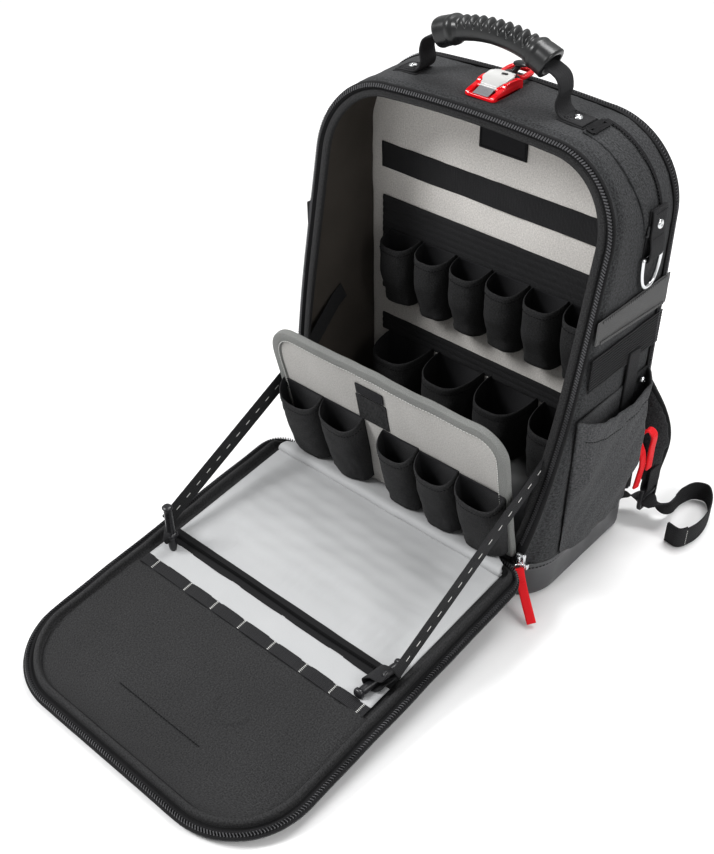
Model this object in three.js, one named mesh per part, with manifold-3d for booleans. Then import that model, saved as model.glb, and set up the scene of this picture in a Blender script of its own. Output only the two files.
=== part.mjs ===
// A tool backpack that stands open: a moulded base tray, a padded body whose front panel is
// folded down as a flap, a pocket board behind it, pockets on the back wall, and carrying straps.
// Millimetres. X to the right, Y to the back, Z up, origin on the floor at the middle of the base.
import * as THREE from 'three';
import { mergeVertices } from 'three/addons/utils/BufferGeometryUtils.js';
import Module from 'manifold-3d';

const wasm = await Module();
wasm.setup();

// Sizes shared by the pieces
const GAP = 0.3;             // clearance between pieces that touch
const BODY_W = 340;
const BODY_D = 188;          // depth at the floor
const BODY_H = 454;          // height of the top at its corners
const TOP_CROWN = 3;
const CORNER_R = 79;         // upper corners seen from the front
const FRONT_LEAN = 0.185;    // the front opening leans back this much for each mm of height
const REAR_LEAN = 0.025;     // the rear leans forward
const PLAN_FRONT_R = 49;     // corners of the base seen from above
const PLAN_REAR_R = 22;
const WALL = 6;              // padded wall
const DIVIDER = 3;
const REAR_DEPTH = 24;       // flat rear compartment
const REAR_SEAM = 7;         // its zip lies this far before the rear face
const REAR_WALL = 4;
const FRAME_T = 4;           // stiff frame round the front opening
const FRAME_TOP_W = 15;      // the frame stands this far in from the outline at the top
const OPENING_HALF_W = BODY_W / 2 - 17;
const OPENING_R = 50;

// Base tray
const TRAY_H = 46;
const TRAY_WALL = 3;
const TRAY_FLOOR = 3;
const TRAY_EDGE = 5;         // rounded lower edge

// Front flap, measured from its hinge
const HINGE_Z = 58;
const FLAP_L = 396;
const FLAP_TILT = THREE.MathUtils.degToRad(6.435);
const FLAP_NEAR_R = 26;
const FLAP_PANEL_T = 6;
const FLAP_DEPTH = 12;       // underside below the rim line
const RIM_W = 12;
const RIM_RISE = 3;
const LINING_T = 1.5;
const FLAP_START = 3;        // the flap's own edge, clear of the tray
const HEM_FOLD = 11, HEM_T = 2; // raised fold of the lining along the hinge
const FLAP_POCKET_FROM = 18, FLAP_POCKET_TO = 172;
const FLAP_ZIP_W = 12;
const FLAP_STRIP_TO = 213;
const LOOPS_W = 12, LOOPS_T = 2;
const POCKET_BULGE = 5;

// Zips
const CHAIN_W = 5, CHAIN_T = 2.6, CHAIN_LIFT = 1;
const REAR_CHAIN_W = 7;
const REAR_ZIP_FROM = 110;   // the rear zip starts this high on each side
const SLIDER_L = 14, SLIDER_W = 10, SLIDER_T = 6;
const SLIDER_AT = { in: 15.5, z: HINGE_Z + 1.9, forward: 1.4 };
const PULL_W = 9, PULL_T = 3;
// Cloth pulls, from their upper to their lower end: out from the side, back from the front or rear
// face at the floor, up from the hinge or from the start of the rear zip
const MAIN_PULL = [[-12.2, 0.1, -4.5], [-10, -0.5, -12], [-3, -4, -24], [16, -12, -53]];
const REAR_PULLS = {
  upper: [[6.5, -9, 14], [12, -6, 21], [16.5, -2.5, 16], [16, 0, -6], [15, 3, -33]],
  lower: [[6.3, -12, 5], [11, -9.5, -8], [12.5, -7.5, -22], [12, -9, -38], [11, -10.5, -53]],
};

// Pocket board
const BOARD_T = 5;
const BOARD_Z = HINGE_Z + 0.6;
const BOARD_LEAN = THREE.MathUtils.degToRad(12.5);
const BOARD_HALF_W = OPENING_HALF_W - 7, BOARD_H = 168, BOARD_R = 32;
const BINDING_W = 11, BINDING_T = 1.2;
const BOARD_POCKET_D = 22, BOARD_POCKET_T = 1.6, BOARD_POCKET_Z = 7;
// Each board pocket: middle across the board, width, mouth height at the board
const BOARD_POCKETS = [
  { x: -113, w: 56, h: 90 },
  { x: -57, w: 54, h: 90 },
  { x: 17, w: 46, h: 88 },
  { x: 65, w: 48, h: 86 },
  { x: 117, w: 54, h: 84 },
];
const BOARD_MOUTH_DROP = 12;

// Back wall inside the body
const LINING_BOARD_T = 3;
const BAND_Z0 = BODY_H - 124, BAND_Z1 = BODY_H - 96, BAND_T = 1.6, BAND_HALF_W = BODY_W / 2 - 20;
const BACKING_Z0 = 184, BACKING_Z1 = 298, BACKING_HALF_W = BODY_W / 2 - 29, BACKING_T = 2.2;
const WALL_POCKETS = 6, WALL_POCKET_PITCH = 46, WALL_POCKET_W = 43, WALL_POCKET_D = 30;
const WALL_POCKET_Z0 = 184, WALL_POCKET_Z1 = 262, WALL_POCKET_T = 1.6;
const CUPS = 4, CUP_PITCH = 70, CUP_W = 62, CUP_D = 52, CUP_Z0 = 62, CUP_Z1 = 132, CUP_T = 2;

// Carrying handle
const HANDLE_X = -4, HANDLE_Y = 33;
const GRIP_HALF = 60, GRIP_END_Z = BODY_H + 42, GRIP_TOP_Z = GRIP_END_Z + 13.5;
const GRIP_W = 23, GRIP_T = 19, COLLAR_W = 29, COLLAR_T = 27;
const HANDLE_STRAP_W = 25, HANDLE_STRAP_T = 2.5;
const FOOT_OUT = 104, FOOT_IN = 80;

// Latch on the top
const LATCH_W = 32, LATCH_L = 46, LATCH_Y0 = 7, LATCH_H = 12;
const LATCH_RAIL = 5, LATCH_FRONT_H = 4;
const LATCH_PLATE_T = 2.4;
const LATCH_LOOP_L = 24, LATCH_LOOP_BAR = 4.5;

// Ring on the right side
const RING_Y = 40, RING_BAR_Z = BODY_H - 102;
const RING_WIRE_R = 2, RING_HALF_W = 16, RING_DROP = 32;
const RING_STRAP_W = 24, RING_STRAP_T = 1.6;
const RING_STRAP_FROM = BODY_W / 2 - 64; // where it starts on the top, from the middle

// Side bands and side pockets
const BAND_SIDE_T = 2, BAND_SIDE_Z0 = RING_BAR_Z - 69, BAND_SIDE_Z1 = RING_BAR_Z - 35;
const BAND_SIDE_Y0 = BODY_D / 2 - 118, BAND_SIDE_Y1 = BODY_D / 2 - 32;
const SIDE_POCKET_Y0 = -BODY_D / 2 + 48, SIDE_POCKET_Y1 = BODY_D / 2 - 17, SIDE_POCKET_T = 2;
const SIDE_POCKET_MOUTH_Z = 212, SIDE_POCKET_SAG = 16;
// Bulge of the side pocket from floor to mouth: share of its height, bulge at the front, at the back
const SIDE_POCKET_ROWS = [
  { h: 0.0, front: 3, back: 6 },
  { h: 0.25, front: 6, back: 13 },
  { h: 0.6, front: 8, back: 18 },
  { h: 1.0, front: 7, back: 17 },
];

// Straps that hold the flap
const FLAP_STRAP_W = 22, FLAP_STRAP_T = 1.2;
const FLAP_STRAP_V = 190;    // distance of the lower end from the hinge
const ANCHOR_Y = -8, ANCHOR_Z = 190;
const CROSSING_X = OPENING_HALF_W - 1.7; // where the strap passes the frame
const TOGGLE_R = 4.5;
// Toggle bars at the lower ends of the flap straps: in from the flap's side, out from the lower end of
// the strap, up from the flap
const TOGGLES = {
  left: [[37, 5, -3.4], [37, 0, 54]],
  right: [[37, 20.5, 1], [28.5, -26, 1.5]],
};

// Back padding and shoulder straps
const PAD_T = 14, PAD_HALF_W = BODY_W / 2 - 30, PAD_Z0 = 70, PAD_Z1 = BODY_H - 49, PAD_GROOVE = 9;
const STRAP_PAD_T = 11;
const LOCK_W = 33, LOCK_L = 26, LOCK_T = 5, LOCK_SLOT = 5, LOCK_RAIL = 4;
const LOCK_AT = { x: BODY_W / 2 + 14, y: BODY_D / 2 + 16, z: 33 };
// Route of the right shoulder strap: share of the half width, distance behind the rear face, share of
// the height, width of the strap
const SHOULDER_ROWS = [
  { side: 0.288, back: 6.6, up: 0.9515, w: 60, t: 11, turn: 0 },
  { side: 0.294, back: 17, up: 0.916, w: 62, t: 11, turn: 0 },
  { side: 0.306, back: 28, up: 0.868, w: 64, t: 11, turn: 0 },
  { side: 0.341, back: 38, up: 0.749, w: 66, t: 11, turn: 0 },
  { side: 0.412, back: 39, up: 0.608, w: 66, t: 11, turn: 0 },
  { side: 0.529, back: 35, up: 0.48, w: 60, t: 11, turn: 0 },
  { side: 0.682, back: 31, up: 0.383, w: 52, t: 11, turn: 0 },
  { side: 0.882, back: 29, up: 0.308, w: 44, t: 10, turn: 12 },
  { side: 1.035, back: 24, up: 0.2335, w: 36, t: 8, turn: 48 },
];
// Its lower end, above the lock
const SHOULDER_END = { back: 18, above: LOCK_L / 2 + 1.5, w: 27, t: 5, turn: 88 };
const WEB_W = 25, WEB_T = 1.8;
// Webbing from the base through the lower slot of the lock, measured from the lock across and up and
// from the rear face, turn is its twist away from upright
const WEB_ROWS = [
  { x: -66, y: 1.3, z: -5, turn: 0 },
  { x: -38, y: 2.6, z: -9, turn: 4 },
  { x: -19, y: 10, z: -9, turn: 40 },
  { x: -6, y: 15.8, z: -7.8, turn: 90 },
  { x: 6, y: 16.2, z: -7.8, turn: 90 },
  { x: 15, y: 20, z: -9, turn: 45 },
  { x: 20, y: 29, z: -14, turn: 12 },
];
// Its free end stands on its edge on the floor
const TAIL_ROWS = [
  { x: 21, y: 42 },
  { x: 21, y: 58 },
  { x: 27, y: 76 },
  { x: 39, y: 81 },
  { x: 51, y: 68 },
  { x: 60, y: 42 },
  { x: 60, y: 14 },
  { x: 52, y: -4 },
  { x: 37, y: -3 },
];

// Finishes
const finish = (color, roughness, metalness = 0) =>
  new THREE.MeshStandardMaterial({ color, roughness, metalness });
const CHARCOAL = finish(0x3b3b3d, 0.9);
const BLACK = finish(0x1b1b1d, 0.9);
const SILVER_GREY = finish(0xc6c7c9, 0.8);
const FELT = finish(0x9a9792, 0.95);
const BAND_GREY = finish(0x6b6b6b, 0.9);
const MOULDED = finish(0x47484a, 0.45);
const RED = finish(0xe0141c, 0.5);
const WHITE = finish(0xf2f2f2, 0.4);
const STEEL = finish(0xc0c2c4, 0.25, 1);

// Where the body's faces lie at a height
const frontY = (z) => -BODY_D / 2 + FRONT_LEAN * z;
const rearY = (z) => BODY_D / 2 - REAR_LEAN * z;
const dividerY = (z) => rearY(z) - REAR_DEPTH;
const HALF_W = BODY_W / 2;
const FLAT_TOP = HALF_W - CORNER_R;

function topZ(x) {
  const side = Math.abs(x);
  if (side <= FLAT_TOP) return BODY_H + TOP_CROWN * (1 - (side / FLAT_TOP) ** 2);
  return BODY_H - CORNER_R + Math.sqrt(Math.max(0, CORNER_R ** 2 - (side - FLAT_TOP) ** 2));
}

// Half width of the rounded base outline at a depth
function planHalfWidth(y) {
  const inward = Math.max(0, -BODY_D / 2 + PLAN_FRONT_R - y);
  return HALF_W - PLAN_FRONT_R + Math.sqrt(Math.max(0, PLAN_FRONT_R ** 2 - inward ** 2));
}

// Solids and booleans
function toSolid(geometry) {
  const bare = geometry.clone();
  bare.deleteAttribute('normal');
  bare.deleteAttribute('uv');
  const merged = mergeVertices(bare, 1e-4);
  return new wasm.Manifold(new wasm.Mesh({
    numProp: 3,
    vertProperties: new Float32Array(merged.attributes.position.array),
    triVerts: new Uint32Array(merged.index.array),
  }));
}

function toGeometry(solid) {
  const mesh = solid.getMesh();
  const geometry = new THREE.BufferGeometry();
  geometry.setAttribute('position', new THREE.BufferAttribute(new Float32Array(mesh.vertProperties), 3));
  geometry.setIndex(new THREE.BufferAttribute(new Uint32Array(mesh.triVerts), 1));
  return geometry;
}

// Skin over loops of equally many points, closed by a cap at each end or joined into a ring
function skin(loops, ring = false) {
  const count = loops[0].length;
  const points = loops.flat();
  const faces = [];
  const spans = ring ? loops.length : loops.length - 1;
  for (let row = 0; row < spans; row += 1) {
    const next = (row + 1) % loops.length;
    for (let i = 0; i < count; i += 1) {
      const j = (i + 1) % count;
      const [a, b, c, d] = [row * count + i, row * count + j, next * count + j, next * count + i];
      faces.push([a, b, c], [a, c, d]);
    }
  }
  if (!ring) {
    faces.push(...cap(loops[0]).map(([a, b, c]) => [c, b, a]));
    const start = (loops.length - 1) * count;
    faces.push(...cap(loops[loops.length - 1]).map((face) => face.map((i) => i + start)));
  }
  if (volume(points, faces) < 0) faces.forEach((face) => face.reverse());
  const geometry = new THREE.BufferGeometry().setFromPoints(points);
  geometry.setIndex(faces.flat());
  return geometry;
}

// Triangles over a flat loop, turned to its own direction
function cap(loop) {
  const normal = new THREE.Vector3();
  loop.forEach((point, i) => normal.add(new THREE.Vector3().crossVectors(point, loop[(i + 1) % loop.length])));
  const turn = new THREE.Quaternion().setFromUnitVectors(normal.normalize(), new THREE.Vector3(0, 0, 1));
  const flat = loop.map((point) => {
    const turned = point.clone().applyQuaternion(turn);
    return new THREE.Vector2(turned.x, turned.y);
  });
  return THREE.ShapeUtils.triangulateShape(flat, []);
}

function volume(points, faces) {
  return faces.reduce((sum, [a, b, c]) => {
    const cross = new THREE.Vector3().crossVectors(points[b], points[c]);
    return sum + points[a].dot(cross) / 6;
  }, 0);
}

// Outlines
function archShape(inset, bottom, bottomR = 0) {
  const w = HALF_W - inset;
  const top = BODY_H - inset;
  const r = Math.max(CORNER_R - inset, 1);
  return roundedArch(w, bottom, top, r, TOP_CROWN, bottomR);
}

function roundedArch(w, bottom, top, r, crown, bottomR) {
  const shape = new THREE.Shape();
  if (bottomR > 0) {
    shape.moveTo(-w + bottomR, bottom);
    shape.lineTo(w - bottomR, bottom);
    shape.absarc(w - bottomR, bottom + bottomR, bottomR, -Math.PI / 2, 0, false);
  } else {
    shape.moveTo(-w, bottom);
    shape.lineTo(w, bottom);
  }
  shape.lineTo(w, top - r);
  shape.absarc(w - r, top - r, r, 0, Math.PI / 2, false);
  shape.quadraticCurveTo(0, top + 2 * crown, -w + r, top);
  shape.absarc(-w + r, top - r, r, Math.PI / 2, Math.PI, false);
  if (bottomR > 0) shape.absarc(-w + bottomR, bottom + bottomR, bottomR, Math.PI, Math.PI * 1.5, false);
  return shape;
}

function planLoop(inset, z, steps = 8) {
  const w = HALF_W - inset;
  const d = BODY_D / 2 - inset;
  const corners = [
    [w, -d, PLAN_FRONT_R - inset, -Math.PI / 2],
    [w, d, PLAN_REAR_R - inset, 0],
    [-w, d, PLAN_REAR_R - inset, Math.PI / 2],
    [-w, -d, PLAN_FRONT_R - inset, Math.PI],
  ];
  return corners.flatMap(([x, y, r, start]) => {
    const cx = x - Math.sign(x) * r;
    const cy = y - Math.sign(y) * r;
    return Array.from({ length: steps + 1 }, (_, i) => {
      const a = start + (i / steps) * Math.PI / 2;
      return new THREE.Vector3(cx + r * Math.cos(a), cy + r * Math.sin(a), z);
    });
  });
}

const planPrism = (inset, z0, z1) => toSolid(skin([planLoop(inset, z0), planLoop(inset, z1)]));

function extrudeAlongY(shape, y0, y1, curveSegments = 10) {
  const geometry = new THREE.ExtrudeGeometry(shape, { depth: y1 - y0, bevelEnabled: false, curveSegments });
  geometry.rotateX(Math.PI / 2);
  geometry.translate(0, y1, 0);
  return toSolid(geometry);
}

// Everything in front of (side -1) or behind (side 1) a leaning plane
function halfSpace(yAtFloor, lean, side) {
  const size = 4 * BODY_H;
  const box = new THREE.BoxGeometry(size, size, size).translate(0, side * size / 2, 0);
  box.rotateX(-Math.atan(lean)).translate(0, yAtFloor, 0);
  return toSolid(box);
}

const FAR = BODY_D;
const beforeFront = (offset) => halfSpace(frontY(0) + offset, FRONT_LEAN, -1);
const behindRear = (offset) => halfSpace(rearY(0) + offset, -REAR_LEAN, 1);
const beforeRear = (offset) => halfSpace(rearY(0) + offset, -REAR_LEAN, -1);

// Body, upright on the tray with its lower part seated inside the tray
function bodyBlock() {
  const seat = planPrism(TRAY_WALL + GAP, TRAY_FLOOR + GAP, TRAY_H + TRAY_EDGE);
  const upper = planPrism(0, TRAY_H + GAP, BODY_H + 2 * TOP_CROWN)
    .intersect(extrudeAlongY(archShape(0, TRAY_H), -FAR, FAR));
  return upper.add(seat);
}

const cavityBlock = (inset, floor) => planPrism(inset, floor, BODY_H + 2 * TOP_CROWN)
  .intersect(extrudeAlongY(archShape(inset, 0), -FAR, FAR));

function bodyShell() {
  const floor = TRAY_FLOOR + GAP + DIVIDER;
  const cavity = cavityBlock(WALL, floor)
    .subtract(beforeFront(FRAME_T))
    .subtract(behindRear(-REAR_DEPTH - DIVIDER));
  const mouth = roundedArch(OPENING_HALF_W, HINGE_Z + GAP, BODY_H - FRAME_TOP_W, CORNER_R - FRAME_TOP_W,
    TOP_CROWN, OPENING_R);
  const opening = extrudeAlongY(mouth, -FAR, 0).subtract(halfSpace(frontY(0) + 2 * FRAME_T, FRONT_LEAN, 1));
  return toGeometry(bodyBlock()
    .subtract(beforeFront(0))
    .subtract(behindRear(-REAR_SEAM))
    .subtract(cavity)
    .subtract(rearHollow())
    .subtract(opening));
}

// The flat compartment behind the divider, shared by the body and the rear panel
const rearHollow = () => cavityBlock(WALL, TRAY_FLOOR + GAP + DIVIDER)
  .subtract(beforeRear(-REAR_DEPTH))
  .subtract(behindRear(-REAR_WALL));

function rearShell() {
  return toGeometry(bodyBlock()
    .subtract(beforeRear(-REAR_SEAM + GAP))
    .subtract(behindRear(0))
    .subtract(rearHollow()));
}

function baseTray() {
  return skin([
    planLoop(TRAY_EDGE, 0),
    planLoop(TRAY_EDGE * 0.3, TRAY_EDGE * 0.3),
    planLoop(0, TRAY_EDGE),
    planLoop(0, TRAY_H),
    planLoop(TRAY_WALL, TRAY_H),
    planLoop(TRAY_WALL, TRAY_FLOOR),
  ]);
}

// A flat ribbon along points, each with its own width and direction across
function ribbon(points, across, width, thickness) {
  const rows = points.map((point, i) => {
    const before = points[Math.max(i - 1, 0)];
    const after = points[Math.min(i + 1, points.length - 1)];
    const along = new THREE.Vector3().subVectors(after, before).normalize();
    const given = typeof across === 'function' ? across(i, point) : across;
    const normal = new THREE.Vector3().crossVectors(along, given).normalize();
    const side = new THREE.Vector3().crossVectors(normal, along).normalize();
    const w = (typeof width === 'function' ? width(i) : width) / 2;
    const t = (typeof thickness === 'function' ? thickness(i) : thickness) / 2;
    return [[-1, -1], [1, -1], [1, 1], [-1, 1]].map(([s, n]) => point.clone()
      .addScaledVector(side, s * w).addScaledVector(normal, n * t));
  });
  return skin(rows);
}

const v3 = (x, y, z) => new THREE.Vector3(x, y, z);
const smooth = (points, steps) => new THREE.CatmullRomCurve3(points, false, 'centripetal').getPoints(steps);

// Edge of the front opening plane, inset from the body's outline, from the right hinge over the top
function frontEdge(inset, offset, zStart, steps) {
  const outline = archShape(inset, zStart);
  const points = outline.getSpacedPoints(steps).slice(0, -1);
  const start = points.reduce((best, p, i) => {
    const score = Math.hypot(p.x - (HALF_W - inset), p.y - zStart);
    return score < best.score ? { i, score } : best;
  }, { i: 0, score: Infinity }).i;
  const ordered = points.slice(start).concat(points.slice(0, start));
  const open = ordered.filter((p, i) => i < 2 || p.y > zStart + 1);
  return open.map((p) => {
    const y = frontY(p.y) - offset;
    const limit = planHalfWidth(frontY(p.y)) - inset;
    return v3(Math.sign(p.x) * Math.min(Math.abs(p.x), limit), y, p.y);
  });
}

function bodyZip() {
  const edge = frontEdge(CHAIN_W / 2 + 1, CHAIN_T / 2 + CHAIN_LIFT, HINGE_Z + 10, 96)
    .filter((p) => p.z > HINGE_Z + 9);
  const centre = v3(0, 0, BODY_H / 2);
  const across = (i, p) => v3(p.x, 0, p.z - centre.z).normalize();
  return ribbon(edge, across, CHAIN_W, CHAIN_T);
}

// The rear zip runs round the outside, over the seam of the rear compartment
function rearZip() {
  const lift = CHAIN_T / 2 + GAP;
  const outline = archShape(-lift, REAR_ZIP_FROM - 2).getSpacedPoints(90).slice(0, -1);
  const side = outline.filter((p) => p.y > REAR_ZIP_FROM);
  const ordered = side.sort((a, b) => Math.atan2(a.x, a.y - BODY_H / 2) - Math.atan2(b.x, b.y - BODY_H / 2));
  const path = ordered.map((p) => v3(p.x, rearY(p.y) - REAR_SEAM, p.y));
  return ribbon(path, v3(0, 1, 0), REAR_CHAIN_W, CHAIN_T);
}

// Front flap. Its group has X across, Y back towards the hinge and Z up from the lining.
function flapShape(inset, hingeEdge) {
  const w = HALF_W - inset;
  const far = -FLAP_L + inset;
  const r = CORNER_R - inset;
  const nearR = Math.max(FLAP_NEAR_R - inset, 2);
  const shape = new THREE.Shape();
  shape.moveTo(-w + r, far);
  shape.lineTo(w - r, far);
  shape.absarc(w - r, far + r, r, -Math.PI / 2, 0, false);
  shape.lineTo(w, hingeEdge - nearR);
  shape.absarc(w - nearR, hingeEdge - nearR, nearR, 0, Math.PI / 2, false);
  shape.lineTo(-w + nearR, hingeEdge);
  shape.absarc(-w + nearR, hingeEdge - nearR, nearR, Math.PI / 2, Math.PI, false);
  shape.lineTo(-w, far + r);
  shape.absarc(-w + r, far + r, r, Math.PI, Math.PI * 1.5, false);
  return shape;
}

function slab(shape, z0, z1, curveSegments = 10) {
  const geometry = new THREE.ExtrudeGeometry(shape, { depth: z1 - z0, bevelEnabled: false, curveSegments });
  geometry.translate(0, 0, z0);
  return toSolid(geometry);
}

const CHAIN_ROOM = CHAIN_T + GAP;
function flapShell() {
  const hingeReach = (HINGE_Z * FRONT_LEAN) / Math.cos(FLAP_TILT) - 2 * GAP;
  const panel = slab(flapShape(CHAIN_ROOM, -FLAP_START), -FLAP_DEPTH, -FLAP_DEPTH + FLAP_PANEL_T);
  const rim = slab(flapShape(CHAIN_ROOM, -FLAP_START), -FLAP_DEPTH, RIM_RISE)
    .subtract(slab(flapShape(CHAIN_ROOM + RIM_W, 60), -FLAP_DEPTH - 1, RIM_RISE + 1));
  const foldW = 2 * (HALF_W - PLAN_FRONT_R);
  const strip = toSolid(new THREE.BoxGeometry(foldW, hingeReach + HEM_FOLD, HEM_T)
    .translate(0, (hingeReach - HEM_FOLD) / 2, -HEM_T / 2 - GAP));
  const web = toSolid(new THREE.BoxGeometry(foldW, HEM_FOLD / 2, FLAP_DEPTH - GAP - HEM_T / 2)
    .translate(0, -0.75 * HEM_FOLD, -(FLAP_DEPTH + GAP + HEM_T / 2) / 2));
  const bodyFront = bodyFrontInFlap();
  return toGeometry(panel.add(rim).add(strip).add(web).subtract(bodyFront));
}

// The body's front face as seen from the flap's own axes, with clearance
function bodyFrontInFlap() {
  const face = halfSpace(frontY(0) - GAP, FRONT_LEAN, 1);
  const toFlap = new THREE.Matrix4().makeTranslation(0, -BODY_D / 2, HINGE_Z)
    .multiply(new THREE.Matrix4().makeRotationX(FLAP_TILT)).invert();
  return face.transform(toFlap.elements);
}

const PANEL_TOP = -FLAP_DEPTH + FLAP_PANEL_T + GAP;
const INNER_HALF = HALF_W - CHAIN_ROOM - RIM_W - GAP;

function flapLining() {
  const shape = flapShape(CHAIN_ROOM + RIM_W + GAP, 0);
  const cut = toSolid(new THREE.BoxGeometry(BODY_W, 2 * FLAP_STRIP_TO, 4 * FLAP_DEPTH));
  return toGeometry(slab(shape, PANEL_TOP, PANEL_TOP + LINING_T).subtract(cut));
}

// Grey zipped pocket: a sheet over the near half of the flap, lifted in the middle
function flapPocket() {
  const rows = 7;
  const loops = Array.from({ length: rows + 1 }, (_, i) => {
    const v = THREE.MathUtils.lerp(FLAP_POCKET_FROM, FLAP_POCKET_TO, i / rows);
    const rise = POCKET_BULGE * Math.sin(Math.PI * (i / rows));
    const lower = [-1, -0.5, 0.5, 1].map((u) => v3(u * INNER_HALF, -v, PANEL_TOP));
    const upper = [1, 0.6, 0.2, -0.2, -0.6, -1].map((u) => v3(u * INNER_HALF, -v,
      PANEL_TOP + LINING_T + rise * (1 - u * u)));
    return lower.concat(upper);
  });
  return skin(loops);
}

function flapBar(v0, v1, thickness) {
  return new THREE.BoxGeometry(2 * INNER_HALF, v1 - v0, thickness)
    .translate(0, -(v0 + v1) / 2, PANEL_TOP + thickness / 2);
}

function flapZipChain() {
  const shape = flapShape(CHAIN_T / 2, 0);
  const points = shape.getSpacedPoints(100).slice(0, -1);
  const near = -FLAP_NEAR_R - 4;
  const side = points.filter((p) => p.y < near);
  side.sort((a, b) => Math.atan2(a.x, a.y + FLAP_L / 2) - Math.atan2(b.x, b.y + FLAP_L / 2));
  const start = side.findIndex((p, i) => i > 0 && p.distanceTo(side[i - 1]) > FLAP_L / 4);
  const ordered = start > 0 ? side.slice(start).concat(side.slice(0, start)) : side;
  const path = ordered.map((p) => v3(p.x, p.y, -FLAP_DEPTH / 2));
  return ribbon(path, v3(0, 0, 1), CHAIN_W, CHAIN_T - GAP);
}

// Pockets: a flat back and a rounded front, open at the top
function pocketLoop(w, d, z, back, drop, n = 9) {
  const loop = [];
  for (let i = 0; i <= n; i += 1) {
    const a = (i / n) * Math.PI;
    const x = (w / 2) * Math.sign(Math.cos(a)) * Math.abs(Math.cos(a)) ** 0.7;
    const y = -back - d * Math.sin(a) ** 0.75;
    loop.push(v3(x, y, z - drop * Math.sin(a)));
  }
  return loop;
}

function pocket({ w, d, h, t, drop, taper = 0.8 }) {
  const inner = (z, k, fall) => pocketLoop(w * (0.7 + 0.3 * k) - 2 * t, d * k - 2 * t, z, t, fall);
  return skin([
    pocketLoop(w * (0.7 + 0.3 * taper), d * taper, 0, 0, 0),
    pocketLoop(w, d, h * 0.55, 0, 0),
    pocketLoop(w, d, h, 0, drop),
    inner(h, 1, drop),
    inner(h * 0.55, 1, 0),
    inner(t, taper, 0),
  ]);
}

function toolBoard() {
  const shape = roundedArch(BOARD_HALF_W, 0, BOARD_H, BOARD_R, 0.01, 0);
  return toGeometry(extrudeAlongY(shape, 0, BOARD_T, 8));
}

function boardBinding() {
  const outer = roundedArch(BOARD_HALF_W, 0, BOARD_H, BOARD_R, 0.01, 0);
  const inner = roundedArch(BOARD_HALF_W - BINDING_W, -5, BOARD_H - BINDING_W, BOARD_R - BINDING_W, 0.01, 0);
  return toGeometry(extrudeAlongY(outer, -GAP - BINDING_T, -GAP, 8)
    .subtract(extrudeAlongY(inner, -2 * BINDING_T - GAP, 0, 8)));
}

// Back wall pieces stand on the divider and lean with it
const wallFace = (z, out) => dividerY(z) - DIVIDER - GAP - out;

function liningBoard() {
  const inset = WALL + 1;
  const block = extrudeAlongY(archShape(inset, TRAY_H + 4, 10), -FAR, FAR)
    .intersect(planPrism(inset, TRAY_H, BODY_H));
  const back = rearY(0) - REAR_DEPTH - DIVIDER - GAP;
  return toGeometry(block
    .subtract(halfSpace(back, -REAR_LEAN, 1))
    .subtract(halfSpace(back - LINING_BOARD_T, -REAR_LEAN, -1)));
}

// A flat bar across the back wall, in front of the lining board
function wallBar(halfW, z0, z1, thickness, rows = 1) {
  const loops = [-1, 1].map((side) => {
    const front = [];
    for (let i = 0; i <= rows * 2; i += 1) {
      const z = THREE.MathUtils.lerp(z0, z1, i / (rows * 2));
      const ridge = rows > 1 && i % 2 === 0 ? 0.6 : 0;
      front.push(v3(side * halfW, wallFace(z, LINING_BOARD_T + GAP + thickness - ridge), z));
    }
    const back = [z1, z0].map((z) => v3(side * halfW, wallFace(z, LINING_BOARD_T + GAP), z));
    return front.concat(back);
  });
  return skin(loops);
}

// Handle
function gripCurve() {
  const rise = GRIP_TOP_Z - GRIP_END_Z;
  const radius = (GRIP_HALF ** 2 + rise ** 2) / (2 * rise);
  const half = Math.asin(GRIP_HALF / radius);
  return (t) => {
    const a = (t * 2 - 1) * half;
    return { p: v3(HANDLE_X + radius * Math.sin(a), HANDLE_Y, GRIP_TOP_Z - radius * (1 - Math.cos(a))), a };
  };
}

// Grip sections along its length: share, width and thickness
const GRIP_ROWS = [
  { t: 0, w: COLLAR_W, h: COLLAR_T },
  { t: 0.12, w: COLLAR_W, h: COLLAR_T },
  { t: 0.17, w: GRIP_W + 2, h: GRIP_T + 3 },
  { t: 0.3, w: GRIP_W, h: GRIP_T },
  { t: 0.5, w: GRIP_W, h: GRIP_T },
  { t: 0.7, w: GRIP_W, h: GRIP_T },
  { t: 0.83, w: GRIP_W + 2, h: GRIP_T + 3 },
  { t: 0.88, w: COLLAR_W, h: COLLAR_T },
  { t: 1, w: COLLAR_W, h: COLLAR_T },
];

function handleGrip() {
  const at = gripCurve();
  const sides = 14;
  return skin(GRIP_ROWS.map(({ t, w, h }) => {
    const { p, a } = at(t);
    const up = v3(Math.sin(a), 0, Math.cos(a));
    return Array.from({ length: sides }, (_, i) => {
      const angle = (i / sides) * Math.PI * 2;
      const [c, s] = [Math.cos(angle), Math.sin(angle)];
      return p.clone().add(v3(0, (w / 2) * Math.sign(c) * Math.abs(c) ** 0.8, 0))
        .addScaledVector(up, (h / 2) * Math.sign(s) * Math.abs(s) ** 0.8);
    });
  }));
}

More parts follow.
